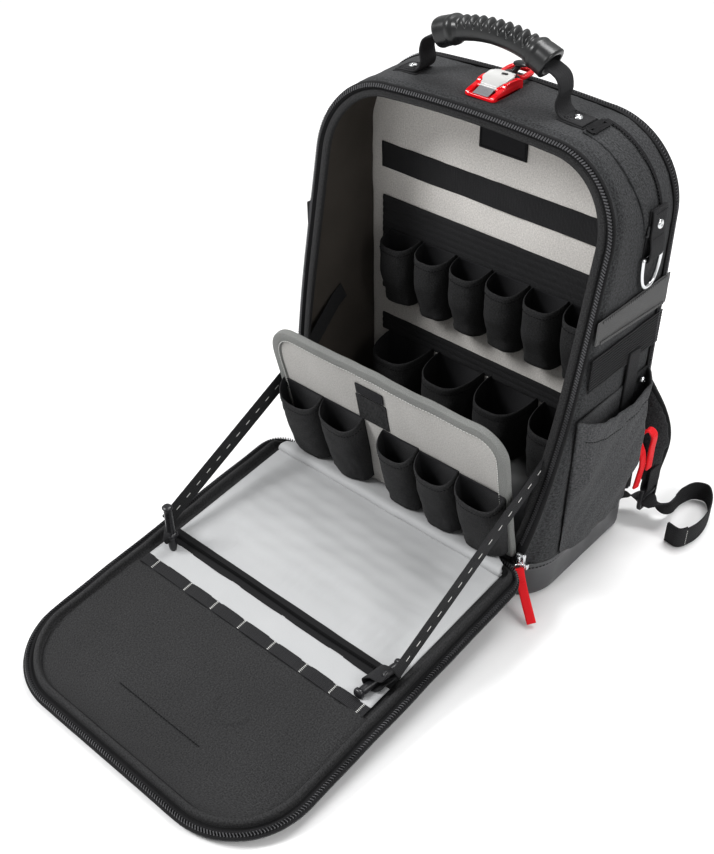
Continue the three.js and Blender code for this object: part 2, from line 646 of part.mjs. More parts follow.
function handleStrap(side) {
  const lift = HANDLE_STRAP_T / 2 + GAP;
  const at = (out, z) => v3(HANDLE_X + side * out, HANDLE_Y, z);
  const onTop = (out) => at(out, topZ(HANDLE_X + side * out) + lift);
  const end = gripCurve()(side > 0 ? 1 : 0).p.add(v3(side * 3 * GAP, 0, 0));
  const base = topZ(FOOT_IN) + lift;
  const rise = end.z - base;
  const route = [
    onTop(FOOT_OUT),
    onTop(FOOT_OUT - 7),
    onTop(FOOT_IN + 10),
    at(FOOT_IN, base + 1),
    at(FOOT_IN - 5, base + 0.3 * rise),
    at(FOOT_IN - 3, base + 0.6 * rise),
    at(FOOT_IN - 9, base + 0.86 * rise),
    end,
  ];
  return ribbon(smooth(route, 22), v3(0, 1, 0), HANDLE_STRAP_W, HANDLE_STRAP_T);
}

// Latch: a red frame with side rails, a pale plate between them, a loop and a knob behind
function latchFrame() {
  const outline = [
    [0, 0], [LATCH_L, 0], [LATCH_L, LATCH_H - 2], [LATCH_L * 0.55, LATCH_H], [0, LATCH_FRONT_H],
  ];
  const loops = [-1, 1].map((side) => outline.map(([y, z]) => v3(side * LATCH_W / 2, y, z)));
  const channel = new THREE.BoxGeometry(LATCH_W - 2 * LATCH_RAIL, LATCH_L * 2, LATCH_H)
    .translate(0, LATCH_L / 2, LATCH_H / 2 + LATCH_FRONT_H);
  return toGeometry(toSolid(skin(loops)).subtract(toSolid(channel)));
}

function latchPlate() {
  const w = LATCH_W / 2 - LATCH_RAIL - GAP;
  const z = LATCH_FRONT_H + GAP;
  const outline = [
    [3, z], [LATCH_L - 3, z], [LATCH_L - 3, z + 6], [LATCH_L * 0.4, z + 8], [3, z + LATCH_PLATE_T],
  ];
  return skin([-1, 1].map((side) => outline.map(([y, h]) => v3(side * w, y, h))));
}

function latchLoop() {
  const w = LATCH_W / 2 - 2;
  const outer = new THREE.BoxGeometry(2 * w, LATCH_LOOP_L, LATCH_LOOP_BAR);
  const hole = new THREE.BoxGeometry(2 * (w - LATCH_LOOP_BAR), LATCH_LOOP_L - 2 * LATCH_LOOP_BAR, 20);
  return toGeometry(toSolid(outer).subtract(toSolid(hole)));
}

// Ring and its strap on the right side
function ringPath() {
  const points = [];
  const steps = 14;
  for (let i = 0; i <= steps; i += 1) {
    const a = Math.PI + (i / steps) * Math.PI;
    const y = RING_HALF_W * Math.sign(Math.cos(a)) * Math.abs(Math.cos(a)) ** 0.75;
    points.push(v3(0, y, (RING_DROP) * Math.sin(a)));
  }
  return points;
}

function ringSolid() {
  const path = ringPath();
  const sides = 6;
  const loops = path.map((point, i) => {
    const before = path[(i + path.length - 1) % path.length];
    const after = path[(i + 1) % path.length];
    const along = new THREE.Vector3().subVectors(after, before).normalize();
    const out = new THREE.Vector3().crossVectors(along, v3(1, 0, 0)).normalize();
    return Array.from({ length: sides }, (_, k) => {
      const angle = (k / sides) * Math.PI * 2;
      return point.clone().addScaledVector(v3(1, 0, 0), RING_WIRE_R * Math.cos(angle))
        .addScaledVector(out, RING_WIRE_R * Math.sin(angle));
    });
  });
  return skin(loops, true);
}

const RING_X = HALF_W + RING_STRAP_T + RING_WIRE_R + 4 * GAP;

function ringStrap() {
  const lift = RING_STRAP_T / 2 + GAP;
  const flat = v3(RING_STRAP_FROM, RING_Y, 0);
  const cx = FLAT_TOP;
  const cz = BODY_H - CORNER_R;
  const r = CORNER_R + lift;
  const startAngle = Math.acos((flat.x - cx) / r);
  const arc = Array.from({ length: 11 }, (_, i) => {
    const a = THREE.MathUtils.lerp(startAngle, 0, i / 10);
    return v3(cx + r * Math.cos(a), RING_Y, cz + r * Math.sin(a));
  });
  const bend = RING_WIRE_R + GAP + RING_STRAP_T / 2;
  const down = [
    v3(HALF_W + lift, RING_Y, RING_BAR_Z + 10),
  ];
  const turn = Array.from({ length: 9 }, (_, i) => {
    const a = Math.PI + (i / 8) * Math.PI;
    return v3(RING_X + bend * Math.cos(a), RING_Y, RING_BAR_Z + bend * Math.sin(a));
  });
  const back = [
    v3(RING_X + bend * 0.6, RING_Y, RING_BAR_Z + 8),
    v3(HALF_W + 3 * lift + GAP, RING_Y, RING_BAR_Z + 16),
    v3(HALF_W + 3 * lift + GAP, RING_Y, RING_BAR_Z + 34),
  ];
  return ribbon([...arc, ...down, ...turn, ...back], v3(0, 1, 0), RING_STRAP_W, RING_STRAP_T);
}

// Side pieces, for the right side, mirrored for the left
function sideBand(side) {
  const x0 = side * (HALF_W + GAP);
  const x1 = side * (HALF_W + GAP + BAND_SIDE_T);
  const rows = [BAND_SIDE_Y0, BAND_SIDE_Y1].map((y) => [[x0, BAND_SIDE_Z0], [x1, BAND_SIDE_Z0],
    [x1, BAND_SIDE_Z1], [x0, BAND_SIDE_Z1]].map(([x, z]) => v3(x, y, z)));
  return skin(rows);
}

function sidePocketLoop({ front, back }, z, inset, drop) {
  const x0 = HALF_W + GAP + inset;
  const length = SIDE_POCKET_Y1 - SIDE_POCKET_Y0 - 2 * inset;
  const steps = 10;
  const outer = Array.from({ length: steps + 1 }, (_, i) => {
    const t = i / steps;
    const shoulder = Math.min(1, Math.sin(Math.PI * t) * 2.2) ** 0.6;
    const bulge = THREE.MathUtils.lerp(front, back, t) * shoulder - 2 * inset * shoulder;
    const sag = drop * Math.sin(Math.PI * t);
    return v3(x0 + Math.max(bulge, 0) + 0.05, SIDE_POCKET_Y0 + inset + length * t, z - sag);
  });
  const inner = [v3(x0 - 0.05, SIDE_POCKET_Y1 - inset, z), v3(x0 - 0.05, SIDE_POCKET_Y0 + inset, z)];
  return outer.concat(inner);
}

function sidePocket(side) {
  const bottom = TRAY_H + 2;
  const height = SIDE_POCKET_MOUTH_Z - bottom;
  const outer = SIDE_POCKET_ROWS.map((row) => sidePocketLoop(row, bottom + height * row.h, 0,
    row.h === 1 ? SIDE_POCKET_SAG : 0));
  const inner = SIDE_POCKET_ROWS.map((row) => sidePocketLoop(row,
    Math.max(bottom + height * row.h, bottom + SIDE_POCKET_T), SIDE_POCKET_T,
    row.h === 1 ? SIDE_POCKET_SAG : 0)).reverse();
  const loops = outer.concat(inner).map((loop) => loop.map((p) => v3(side * p.x, p.y, p.z)));
  return skin(loops);
}

// Straps between the flap and the inside of the body
const flapPoint = (u, v, w) => v3(u, -v, w)
  .applyMatrix4(new THREE.Matrix4().makeRotationX(FLAP_TILT))
  .add(v3(0, -BODY_D / 2, HINGE_Z));

function flapStrap(side) {
  const low = flapPoint(side * OPENING_HALF_W, FLAP_STRAP_V - 8, FLAP_STRAP_W * 0.5 + 4);
  const crossZ = HINGE_Z + 100;
  const cross = v3(side * CROSSING_X, frontY(crossZ), crossZ);
  const wallX = side * (HALF_W - WALL - GAP - FLAP_STRAP_T);
  const anchor = v3(wallX, ANCHOR_Y, ANCHOR_Z);
  const path = [
    low,
    low.clone().lerp(cross, 0.5),
    cross.clone().lerp(low, 0.06),
    cross.clone().add(v3(0, FRAME_T + 3, 3)),
    anchor,
    anchor.clone().add(v3(0, 14, 7)),
  ];
  return ribbon(path, v3(0, -0.47, 0.88), FLAP_STRAP_W, FLAP_STRAP_T);
}

function toggleBar(ends, side) {
  const [a, b] = ends.map(([inward, out, up]) => flapPoint(side * (HALF_W - inward), FLAP_STRAP_V + out, up));
  const bar = new THREE.CylinderGeometry(TOGGLE_R, TOGGLE_R, a.distanceTo(b), 12);
  bar.applyQuaternion(new THREE.Quaternion().setFromUnitVectors(v3(0, 1, 0), b.clone().sub(a).normalize()));
  return bar.translate(...a.add(b).multiplyScalar(0.5).toArray());
}

function clothPull(ends, face, level) {
  const points = ends.map(([out, back, up]) => v3(HALF_W + out, face + back, level + up));
  return ribbon(points, v3(0.74, 0.67, 0), PULL_W, PULL_T);
}

// Back padding: two raised columns joined at the groove
function backPad() {
  const y0 = (z) => rearY(z) + GAP;
  const loops = [PAD_Z0, PAD_Z0 + 16, PAD_Z1 - 16, PAD_Z1].map((z, i) => {
    const edge = i === 0 || i === 3;
    const t = edge ? PAD_T * 0.45 : PAD_T;
    const w = PAD_HALF_W - (edge ? 12 : 0);
    const section = [[-w, 0], [w, 0], [w, t * 0.5], [w - 14, t], [18, t], [6, PAD_GROOVE * 0.5],
      [-6, PAD_GROOVE * 0.5], [-18, t], [-w + 14, t], [-w, t * 0.5]];
    return section.map(([x, out]) => v3(x, y0(z) + out, z));
  });
  return skin(loops);
}

function shoulderStrap(side) {
  const steps = 28;
  const rows = SHOULDER_ROWS.map((row) => ({ ...row, x: row.side * HALF_W, z: row.up * BODY_H }));
  rows.push({ ...SHOULDER_END, x: LOCK_AT.x, z: LOCK_AT.z + SHOULDER_END.above });
  const path = smooth(rows.map(({ x, back, z }) => v3(x, rearY(z) + back, z)), steps);
  const row = (i, key) => {
    const s = (i / steps) * (rows.length - 1);
    const k = Math.min(Math.floor(s), rows.length - 2);
    return THREE.MathUtils.lerp(rows[k][key], rows[k + 1][key], s - k);
  };
  const across = (i) => {
    const along = new THREE.Vector3().subVectors(path[Math.min(i + 1, steps)], path[Math.max(i - 1, 0)]);
    const level = new THREE.Vector3().crossVectors(v3(0, -1, 0), along).normalize();
    return level.applyAxisAngle(along.normalize(), -THREE.MathUtils.degToRad(row(i, 'turn')));
  };
  return mirrored(ribbon(path, across, (i) => row(i, 'w'), (i) => row(i, 't')), side);
}

// Ladder lock: a frame with two slots round its middle bar. Y across, Z along, X through.
const LOCK_SLOT_Z = LOCK_L / 2 - LOCK_RAIL - LOCK_SLOT / 2;
function ladderLock() {
  let body = toSolid(new THREE.BoxGeometry(LOCK_T, LOCK_W, LOCK_L));
  [-1, 1].forEach((end) => {
    body = body.subtract(toSolid(new THREE.BoxGeometry(2 * LOCK_T, WEB_W + 3, LOCK_SLOT)
      .translate(0, 0, end * LOCK_SLOT_Z)));
  });
  return toGeometry(body);
}

function webbing(side) {
  const edge = WEB_W / 2 + 2 * GAP;
  const tail = TAIL_ROWS.map(({ x, y }) => ({ x, y, z: edge - LOCK_AT.z, turn: 0 }));
  const rows = [...WEB_ROWS, ...tail]
    .map(({ x, y, z, turn }) => ({ x: LOCK_AT.x + x, y: rearY(0) + y, z: LOCK_AT.z + z, turn }));
  const steps = 72;
  const curve = new THREE.CatmullRomCurve3(rows.map(({ x, y, z }) => v3(x, y, z)), false, 'centripetal');
  const path = curve.getPoints(steps);
  const turnAt = (i) => {
    const s = (i / steps) * (rows.length - 1);
    const k = Math.min(Math.floor(s), rows.length - 2);
    return THREE.MathUtils.degToRad(THREE.MathUtils.lerp(rows[k].turn, rows[k + 1].turn, s - k));
  };
  const across = (i) => {
    const along = new THREE.Vector3().subVectors(path[Math.min(i + 1, steps)], path[Math.max(i - 1, 0)]);
    const level = new THREE.Vector3().crossVectors(along, v3(0, 0, 1)).normalize();
    return v3(0, 0, 1).multiplyScalar(Math.cos(turnAt(i))).addScaledVector(level, Math.sin(turnAt(i)));
  };
  const route = path.map((p) => v3(p.x, p.y, Math.max(p.z, edge)));
  return mirrored(ribbon(route, across, WEB_W, WEB_T), side);
}

function mirrored(geometry, side) {
  if (side > 0) return geometry;
  geometry.scale(-1, 1, 1);
  const index = geometry.index.array;
  for (let i = 0; i < index.length; i += 3) [index[i], index[i + 1]] = [index[i + 1], index[i]];
  return geometry;
}

// Assembly
const bag = new THREE.Group();
function add(parent, name, geometry, material) {
  const mesh = new THREE.Mesh(geometry, material);
  mesh.name = name;
  parent.add(mesh);
  return mesh;
}

add(bag, 'base_tray', baseTray(), MOULDED);
add(bag, 'body_shell', bodyShell(), CHARCOAL);
add(bag, 'rear_shell', rearShell(), CHARCOAL);
add(bag, 'back_pad', backPad(), BLACK);
add(bag, 'body_zip', bodyZip(), BLACK);
add(bag, 'rear_zip', rearZip(), BLACK);

const flap = new THREE.Group();
flap.position.set(0, -BODY_D / 2, HINGE_Z);
flap.rotation.x = FLAP_TILT;
bag.add(flap);
add(flap, 'flap_shell', flapShell(), CHARCOAL);
add(flap, 'flap_zip', flapZipChain(), BLACK);
add(flap, 'flap_lining', flapLining(), BLACK);
add(flap, 'flap_pocket', flapPocket(), SILVER_GREY);
add(flap, 'pocket_zip', flapBar(FLAP_POCKET_TO + GAP, FLAP_POCKET_TO + FLAP_ZIP_W, LINING_T + 1), BLACK);
add(flap, 'grey_strip', flapBar(FLAP_POCKET_TO + FLAP_ZIP_W + GAP, FLAP_STRIP_TO - GAP, LINING_T), SILVER_GREY);
const loops = add(flap, 'elastic_loops', flapBar(FLAP_STRIP_TO + 1, FLAP_STRIP_TO + 1 + LOOPS_W, LOOPS_T), BLACK);
loops.position.z = LINING_T + GAP;

const board = new THREE.Group();
board.position.set(0, frontY(HINGE_Z) - BOARD_T - 2 * GAP, BOARD_Z);
board.rotation.x = BOARD_LEAN;
bag.add(board);
add(board, 'tool_board', toolBoard(), FELT);
add(board, 'board_binding', boardBinding(), FELT);
BOARD_POCKETS.forEach(({ x, w, h }, i) => {
  const one = add(board, `board_pocket_${i + 1}`,
    pocket({ w: w - 2 * GAP, d: BOARD_POCKET_D, h, t: BOARD_POCKET_T, drop: BOARD_MOUTH_DROP }), BLACK);
  const overBinding = Math.abs(x) + w / 2 > BOARD_HALF_W - BINDING_W;
  one.position.set(x, overBinding ? -2 * GAP - BINDING_T : -GAP, BOARD_POCKET_Z);
});

add(bag, 'lining_board', liningBoard(), FELT);
add(bag, 'wall_band', wallBar(BAND_HALF_W, BAND_Z0, BAND_Z1, BAND_T), BLACK);
add(bag, 'pocket_backing', wallBar(BACKING_HALF_W, BACKING_Z0, BACKING_Z1, BACKING_T, 8), BLACK);
for (let i = 0; i < WALL_POCKETS; i += 1) {
  const one = add(bag, `wall_pocket_${i + 1}`, pocket({
    w: WALL_POCKET_W, d: WALL_POCKET_D, h: WALL_POCKET_Z1 - WALL_POCKET_Z0, t: WALL_POCKET_T, drop: 4,
  }), BLACK);
  const out = LINING_BOARD_T + 2 * GAP + BACKING_T;
  one.position.set((i - (WALL_POCKETS - 1) / 2) * WALL_POCKET_PITCH, wallFace(WALL_POCKET_Z0, out), WALL_POCKET_Z0);
  one.rotation.x = Math.atan(REAR_LEAN);
}
for (let i = 0; i < CUPS; i += 1) {
  const one = add(bag, `wall_cup_${i + 1}`,
    pocket({ w: CUP_W, d: CUP_D, h: CUP_Z1 - CUP_Z0, t: CUP_T, drop: 2, taper: 0.9 }), BLACK);
  const out = LINING_BOARD_T + 2 * GAP;
  one.position.set((i - (CUPS - 1) / 2) * CUP_PITCH, wallFace(CUP_Z0, out), CUP_Z0);
  one.rotation.x = Math.atan(REAR_LEAN);
}

add(bag, 'handle_grip', handleGrip(), BLACK);

const latch = new THREE.Group();
latch.position.set(0, LATCH_Y0, topZ(0) + GAP);
bag.add(latch);
add(latch, 'latch_frame', latchFrame(), RED);
add(latch, 'latch_plate', latchPlate(), WHITE);
add(latch, 'latch_loop', latchLoop(), RED).position
  .set(0, LATCH_L + GAP + LATCH_LOOP_L / 2, LATCH_H - 2 - LATCH_LOOP_BAR / 2);

add(bag, 'ring_strap', ringStrap(), BLACK);
add(bag, 'd_ring', ringSolid(), STEEL).position.set(RING_X, RING_Y, RING_BAR_Z);

const slider = add(bag, 'zip_slider', new THREE.BoxGeometry(SLIDER_W, SLIDER_T, SLIDER_L), STEEL);
slider.position.set(HALF_W - SLIDER_AT.in, frontY(SLIDER_AT.z) - SLIDER_T / 2 - SLIDER_AT.forward, SLIDER_AT.z);
add(bag, 'main_pull', clothPull(MAIN_PULL, frontY(0), HINGE_Z), RED);
Object.entries(REAR_PULLS).forEach(([word, ends]) => {
  add(bag, `rear_pull_${word}`, clothPull(ends, rearY(0), REAR_ZIP_FROM), RED);
});

[['left', -1], ['right', 1]].forEach(([word, side]) => {
  add(bag, `handle_strap_${word}`, handleStrap(side), BLACK);
  add(bag, `side_band_${word}`, sideBand(side), BAND_GREY);
  add(bag, `side_pocket_${word}`, sidePocket(side), CHARCOAL);
  add(bag, `flap_strap_${word}`, flapStrap(side), BLACK);
  add(bag, `toggle_${word}`, toggleBar(TOGGLES[word], side), MOULDED);
  add(bag, `shoulder_strap_${word}`, shoulderStrap(side), BLACK);
  add(bag, `strap_webbing_${word}`, webbing(side), BLACK);
  add(bag, `ladder_lock_${word}`, ladderLock(), MOULDED).position.set(side * LOCK_AT.x, LOCK_AT.y, LOCK_AT.z);
});

export default bag;
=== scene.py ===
"""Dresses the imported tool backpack: cloth skins, zips, pockets, straps and hardware.

Lengths below are millimetres until a mesh is made. X to the right, Y to the back, Z up.
"""
import math

import bpy
import numpy as np
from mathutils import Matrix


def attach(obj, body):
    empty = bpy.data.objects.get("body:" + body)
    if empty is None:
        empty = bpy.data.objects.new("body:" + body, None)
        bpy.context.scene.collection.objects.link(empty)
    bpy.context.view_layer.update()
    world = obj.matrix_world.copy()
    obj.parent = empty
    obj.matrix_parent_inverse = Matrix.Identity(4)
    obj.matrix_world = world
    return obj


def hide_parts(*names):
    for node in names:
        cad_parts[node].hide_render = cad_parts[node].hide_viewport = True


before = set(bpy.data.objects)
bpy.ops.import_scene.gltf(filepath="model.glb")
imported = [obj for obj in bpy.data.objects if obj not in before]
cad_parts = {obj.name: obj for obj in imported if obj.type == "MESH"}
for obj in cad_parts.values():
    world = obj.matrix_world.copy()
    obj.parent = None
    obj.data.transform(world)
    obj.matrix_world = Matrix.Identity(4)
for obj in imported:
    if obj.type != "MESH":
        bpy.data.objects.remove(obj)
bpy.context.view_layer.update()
BAG = "bag"

# sizes shared with the CAD part, in mm
BODY_W, BODY_D, BODY_H = 340.0, 188.0, 454.0
CORNER_R, CROWN = 79.0, 3.0
FRONT_LEAN, REAR_LEAN = 0.185, 0.025
PLAN_FRONT_R, PLAN_REAR_R = 49.0, 22.0
TRAY_H = 46.0
REAR_DEPTH, DIVIDER, LINING_T = 24.0, 3.3, 3.0
HINGE_Z = 58.0
FLAP_L = 396.0
FLAP_TILT = math.radians(6.435)
BOARD_LEAN = math.radians(12.5)
BOARD_HALF_W, BOARD_H, BOARD_R = 146.0, 168.0, 32.0
HANDLE_X, HANDLE_Y = -4.0, 33.0
RING_X, RING_BAR_Z = 174.8, 352.0
SIDE_Y0, SIDE_Y1 = -46.0, 77.0
FRONT_ZIP_FOOT, REAR_ZIP_FOOT = 68.0, 110.0
HALF_W = BODY_W / 2
FLAT_TOP = HALF_W - CORNER_R


def front_y(z):
    """Depth of the leaning front opening at a height."""
    return -BODY_D / 2 + FRONT_LEAN * z


def rear_y(z):
    """Depth of the rear face at a height."""
    return BODY_D / 2 - REAR_LEAN * z


def wall_y(z, out=0.0):
    """Depth of the felt back wall at a height, and so far in front of it."""
    return rear_y(z) - REAR_DEPTH - DIVIDER - LINING_T - out


def plan_half_width(y):
    """Half width of the base outline at a depth: full width, less the round of the front corners."""
    inward = np.clip(-BODY_D / 2 + PLAN_FRONT_R - y, 0, PLAN_FRONT_R)
    return HALF_W - PLAN_FRONT_R + np.sqrt(PLAN_FRONT_R ** 2 - inward ** 2)


# arrays
def unit(v):
    """Vectors scaled to length one."""
    return v / np.maximum(np.linalg.norm(v, axis=-1, keepdims=True), 1e-9)


def evenly(points, count):
    """The polyline resampled at even arc length."""
    points = np.asarray(points, float)
    step = np.r_[0, np.cumsum(np.linalg.norm(np.diff(points, axis=0), axis=1))]
    at = np.linspace(0, step[-1], count)
    return np.stack([np.interp(at, step, points[:, k]) for k in range(points.shape[1])], axis=1)


def evenly_round(points, count):
    """The closed polyline resampled at even arc length."""
    return evenly(np.vstack([points, points[:1]]), count + 1)[:-1]


def smooth_path(points, count):
    """A smooth curve through a few points, spaced by the root of each chord, cubic between points."""
    points = np.asarray(points, float)
    t = np.r_[0, np.cumsum(np.sqrt(np.linalg.norm(np.diff(points, axis=0), axis=1)))]
    slope = np.gradient(points, t, axis=0)
    at = np.linspace(0, t[-1], count * 4)
    k = np.clip(np.searchsorted(t, at, side="right") - 1, 0, len(t) - 2)
    h = (t[k + 1] - t[k])[:, None]
    s = ((at - t[k])[:, None]) / h
    curve = ((2 * s ** 3 - 3 * s ** 2 + 1) * points[k] + (s ** 3 - 2 * s ** 2 + s) * h * slope[k]
             + (3 * s ** 2 - 2 * s ** 3) * points[k + 1] + (s ** 3 - s ** 2) * h * slope[k + 1])
    return evenly(curve, count)


def along_of(path, closed=False):
    """Unit direction of travel at each point of a path."""
    if closed:
        return unit(np.roll(path, -1, axis=0) - np.roll(path, 1, axis=0))
    return unit(np.gradient(path, axis=0))


def crumple(u, v, size, seed, octaves=4):
    """Soft random relief between about -1 and 1: sines of seeded directions, each octave half the size."""
    rng = np.random.default_rng(seed)
    total = np.zeros(np.broadcast(u, v).shape)
    for octave in range(octaves):
        for _ in range(3):
            turn, phase = rng.uniform(0, 2 * math.pi, 2)
            wave = 2 * math.pi / (size * rng.uniform(0.7, 1.4) / 2 ** octave)
            run = u * math.cos(turn) + v * math.sin(turn)
            total = total + np.sin(wave * run + phase) / (3 * 1.7 ** octave)
    return total


def bump_line(distance, width):
    """One on a line, falling off as a bell to either side."""
    return np.exp(-(distance / width) ** 2)


def ease(x):
    """0 below 0, 1 above 1, smooth between."""
    x = np.clip(x, 0, 1)
    return x * x * (3 - 2 * x)


def flap_point(u, v, w):
    """Row frame point for a place on the flap: across, out from the hinge, up from its rim line."""
    u, v, w = np.broadcast_arrays(np.asarray(u, float), np.asarray(v, float), np.asarray(w, float))
    c, s = math.cos(FLAP_TILT), math.sin(FLAP_TILT)
    return np.stack([u, -BODY_D / 2 - v * c - w * s, HINGE_Z - v * s + w * c], axis=-1)


def board_point(x, y, z):
    """Row frame point for a place on the pocket board: across, behind its front face, up from its foot."""
    x, y, z = np.broadcast_arrays(np.asarray(x, float), np.asarray(y, float), np.asarray(z, float))
    c, s = math.cos(BOARD_LEAN), math.sin(BOARD_LEAN)
    return np.stack([x, front_y(HINGE_Z) - 5.6 + y * c - z * s, 58.6 + y * s + z * c], axis=-1)


# meshes
def finish_object(name, vertices, faces, material, uvs=None, smooth=True, replaces=(), slot=None, body=BAG):
    """Makes the mesh in metres with its texture places, rides it on a body and hides the parts it replaces;
    slot is not used.
    """
    mesh = bpy.data.meshes.new(name)
    mesh.from_pydata((np.asarray(vertices) * 0.001).tolist(), [], faces)
    if uvs is not None:
        layer = mesh.uv_layers.new(name="cloth")
        layer.data.foreach_set("uv", np.asarray(uvs, float).ravel())
    mesh.polygons.foreach_set("use_smooth", [smooth] * len(mesh.polygons))
    mesh.materials.append(material)
    mesh.update()
    piece = bpy.data.objects.new(name, mesh)
    bpy.context.scene.collection.objects.link(piece)
    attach(piece, body)
    if replaces:
        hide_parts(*replaces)
    return piece


def skin(name, points, material, inside=None, around=False, ring=False, ends=False, thick=0.0, bands=(),
         row_bands=(), **rest):
    """A skin over a grid of points (rows, columns, 3).

    Columns join round to the first where around is set, rows where ring is set, and ends closes the first
    and last row. Faces look away from the point inside. Texture places are metres along each direction.
    bands gives the first column of each further material, row_bands the first row.
    """
    points = np.asarray(points, float)
    rows, columns = points.shape[:2]
    index = np.arange(rows * columns).reshape(rows, columns)
    if around:
        index = np.concatenate([index, index[:, :1]], axis=1)
    if ring:
        index = np.concatenate([index, index[:1]], axis=0)
    a, b, c, d = index[:-1, :-1], index[:-1, 1:], index[1:, 1:], index[1:, :-1]
    quads = np.stack([a, b, c, d], axis=-1).reshape(-1, 4)
    flat = points.reshape(-1, 3)
    middle = flat.mean(axis=0) if inside is None else np.asarray(inside, float)
    p = flat[quads]
    outward = np.einsum("ij,ij->i", np.cross(p[:, 2] - p[:, 0], p[:, 3] - p[:, 1]),
                        p.mean(axis=1) - middle).sum()
    wide = np.r_[0, np.cumsum(np.linalg.norm(np.diff(points[:, list(range(columns)) + [0]], axis=1),
                                             axis=2).mean(axis=0))]
    tall = np.r_[0, np.cumsum(np.linalg.norm(np.diff(points[list(range(rows)) + [0]], axis=0),
                                             axis=2).mean(axis=1))]
    wide, tall = wide[:index.shape[1]], tall[:index.shape[0]]
    u, v = np.meshgrid(tall * 0.001, wide * 0.001, indexing="ij")
    places = np.stack([u, v], axis=-1)
    corners = np.stack([places[:-1, :-1], places[:-1, 1:], places[1:, 1:], places[1:, :-1]],
                       axis=2).reshape(-1, 4, 2)
    if outward < 0:
        quads, corners = quads[:, ::-1], corners[:, ::-1]
    faces = quads.tolist()
    uvs = corners.reshape(-1, 2)
    if ends:
        first, last = index[0, :columns], index[-1, :columns]
        for loop, forward in ((first, outward < 0), (last, outward > 0)):
            faces.append((loop if forward else loop[::-1]).tolist())
            uvs = np.concatenate([uvs, flat[loop][:, :2] * 0.001])
    piece = finish_object(name, flat, faces, material, uvs, **rest)
    if bands or row_bands:
        across = len(wide) - 1 if around else columns - 1
        place = np.arange(len(quads)) % across if bands else np.arange(len(quads)) // across
        picked = np.zeros(len(faces), int)
        for step, (first, cover) in enumerate(bands or row_bands):
            if step:
                piece.data.materials.append(cover)
            picked[:len(quads)][place >= first] = step
        picked[len(quads):] = picked[len(quads) - 1]
        piece.data.polygons.foreach_set("material_index", picked)
    if thick:
        wall = piece.modifiers.new("wall", "SOLIDIFY")
        wall.thickness = thick * 0.001
        wall.offset = -1
        wall.use_even_offset = True
    return piece


def flat_section(count=14, power=0.35):
    """Cross-section of a flat band: a circle pushed out to a rounded oblong, both half sizes one."""
    a = np.linspace(0, 2 * math.pi, count, endpoint=False)
    return np.stack([np.sign(np.cos(a)) * np.abs(np.cos(a)) ** power,
                     np.sign(np.sin(a)) * np.abs(np.sin(a)) ** power], axis=1)


def round_section(count):
    """Cross-section of a wire: a circle of half size one."""
    a = np.linspace(0, 2 * math.pi, count, endpoint=False)
    return np.stack([np.cos(a), np.sin(a)], axis=1)


def sweep(name, path, across, width, thickness, material, section=None, closed=False, **rest):
    """A section carried along a path: across is the direction of its width, thickness square to it."""
    path = np.asarray(path, float)
    along = along_of(path, closed)
    across = np.broadcast_to(np.asarray(across, float), path.shape)
    normal = unit(np.cross(along, across))
    side = unit(np.cross(normal, along))
    section = flat_section() if section is None else section
    width = np.broadcast_to(np.asarray(width, float), (len(path),))[:, None, None] / 2
    thickness = np.broadcast_to(np.asarray(thickness, float), (len(path),))[:, None, None] / 2
    points = (path[:, None] + section[None, :, :1] * width * side[:, None]
              + section[None, :, 1:] * thickness * normal[:, None])
    return skin(name, points, material, around=True, ring=closed, ends=not closed, **rest)


def repeat(name, template, faces, origins, axes, material, **rest):
    """Many copies of one small shape: its points times three axes at each origin."""
    template = np.asarray(template, float)
    axes = np.stack(axes, axis=1)
    points = origins[:, None] + np.einsum("pk,nkc->npc", template, axes)
    faces = np.asarray(faces)
    if np.linalg.det(axes[0]) < 0:
        faces = faces[:, ::-1]
    every = faces[None] + (np.arange(len(origins)) * len(template))[:, None, None]
    every = every.reshape(-1, faces.shape[1])
    return finish_object(name, points.reshape(-1, 3), every.tolist(), material,
                         np.zeros((every.size, 2)), smooth=False, **rest)


BLOCK = [[x, y, z] for x in (-1, 1) for y in (-1, 1) for z in (-1, 1)]
BLOCK_FACES = [[0, 1, 3, 2], [4, 6, 7, 5], [0, 4, 5, 1], [2, 3, 7, 6], [0, 2, 6, 4], [1, 5, 7, 3]]


def tapered_block(length, width, height, top=0.6):
    """A block with its upper face smaller: along, across, up."""
    block = np.array(BLOCK, float)
    shrink = np.where(block[:, 2:] > 0, top, 1.0)
    taper = np.concatenate([shrink, shrink, np.ones_like(shrink)], axis=1)
    return block * np.array([length, width, height]) / 2 * taper


def row_of_blocks(name, path, across, pitch, size, material, top=0.6, lift=0.0, closed=False, slant=0.0,
                  up=None, away=None, **rest):
    """Zip teeth or stitches: a tapered block every pitch along a path, up square to the path and across.

    slant turns each block in its own plane. up, or a point to face away from, settles which side is up.
    """
    path = np.asarray(path, float)
    if closed:
        path = np.concatenate([path, path[:1]])
    across = np.broadcast_to(np.asarray(across, float), (len(path), 3)) if np.ndim(across) == 1 else (
        np.concatenate([across, across[:1]]) if closed else across)
    length = np.linalg.norm(np.diff(path, axis=0), axis=1).sum()
    count = max(int(length / pitch), 2)
    both = evenly_with(path, across, count)
    at, over = both[:, :3], unit(both[:, 3:])
    along = along_of(at)
    rise = unit(np.cross(along, over))
    want = at - away if away is not None else np.broadcast_to(up, at.shape) if up is not None else rise
    rise = rise * np.where(np.einsum("ij,ij->i", rise, want) < 0, -1, 1)[:, None]
    over = unit(np.cross(rise, along))
    length, width = (along * math.cos(slant) + over * math.sin(slant),
                     over * math.cos(slant) - along * math.sin(slant))
    return repeat(name, tapered_block(*size, top=top), BLOCK_FACES, at + rise * lift, (length, width, rise),
                  material, **rest)


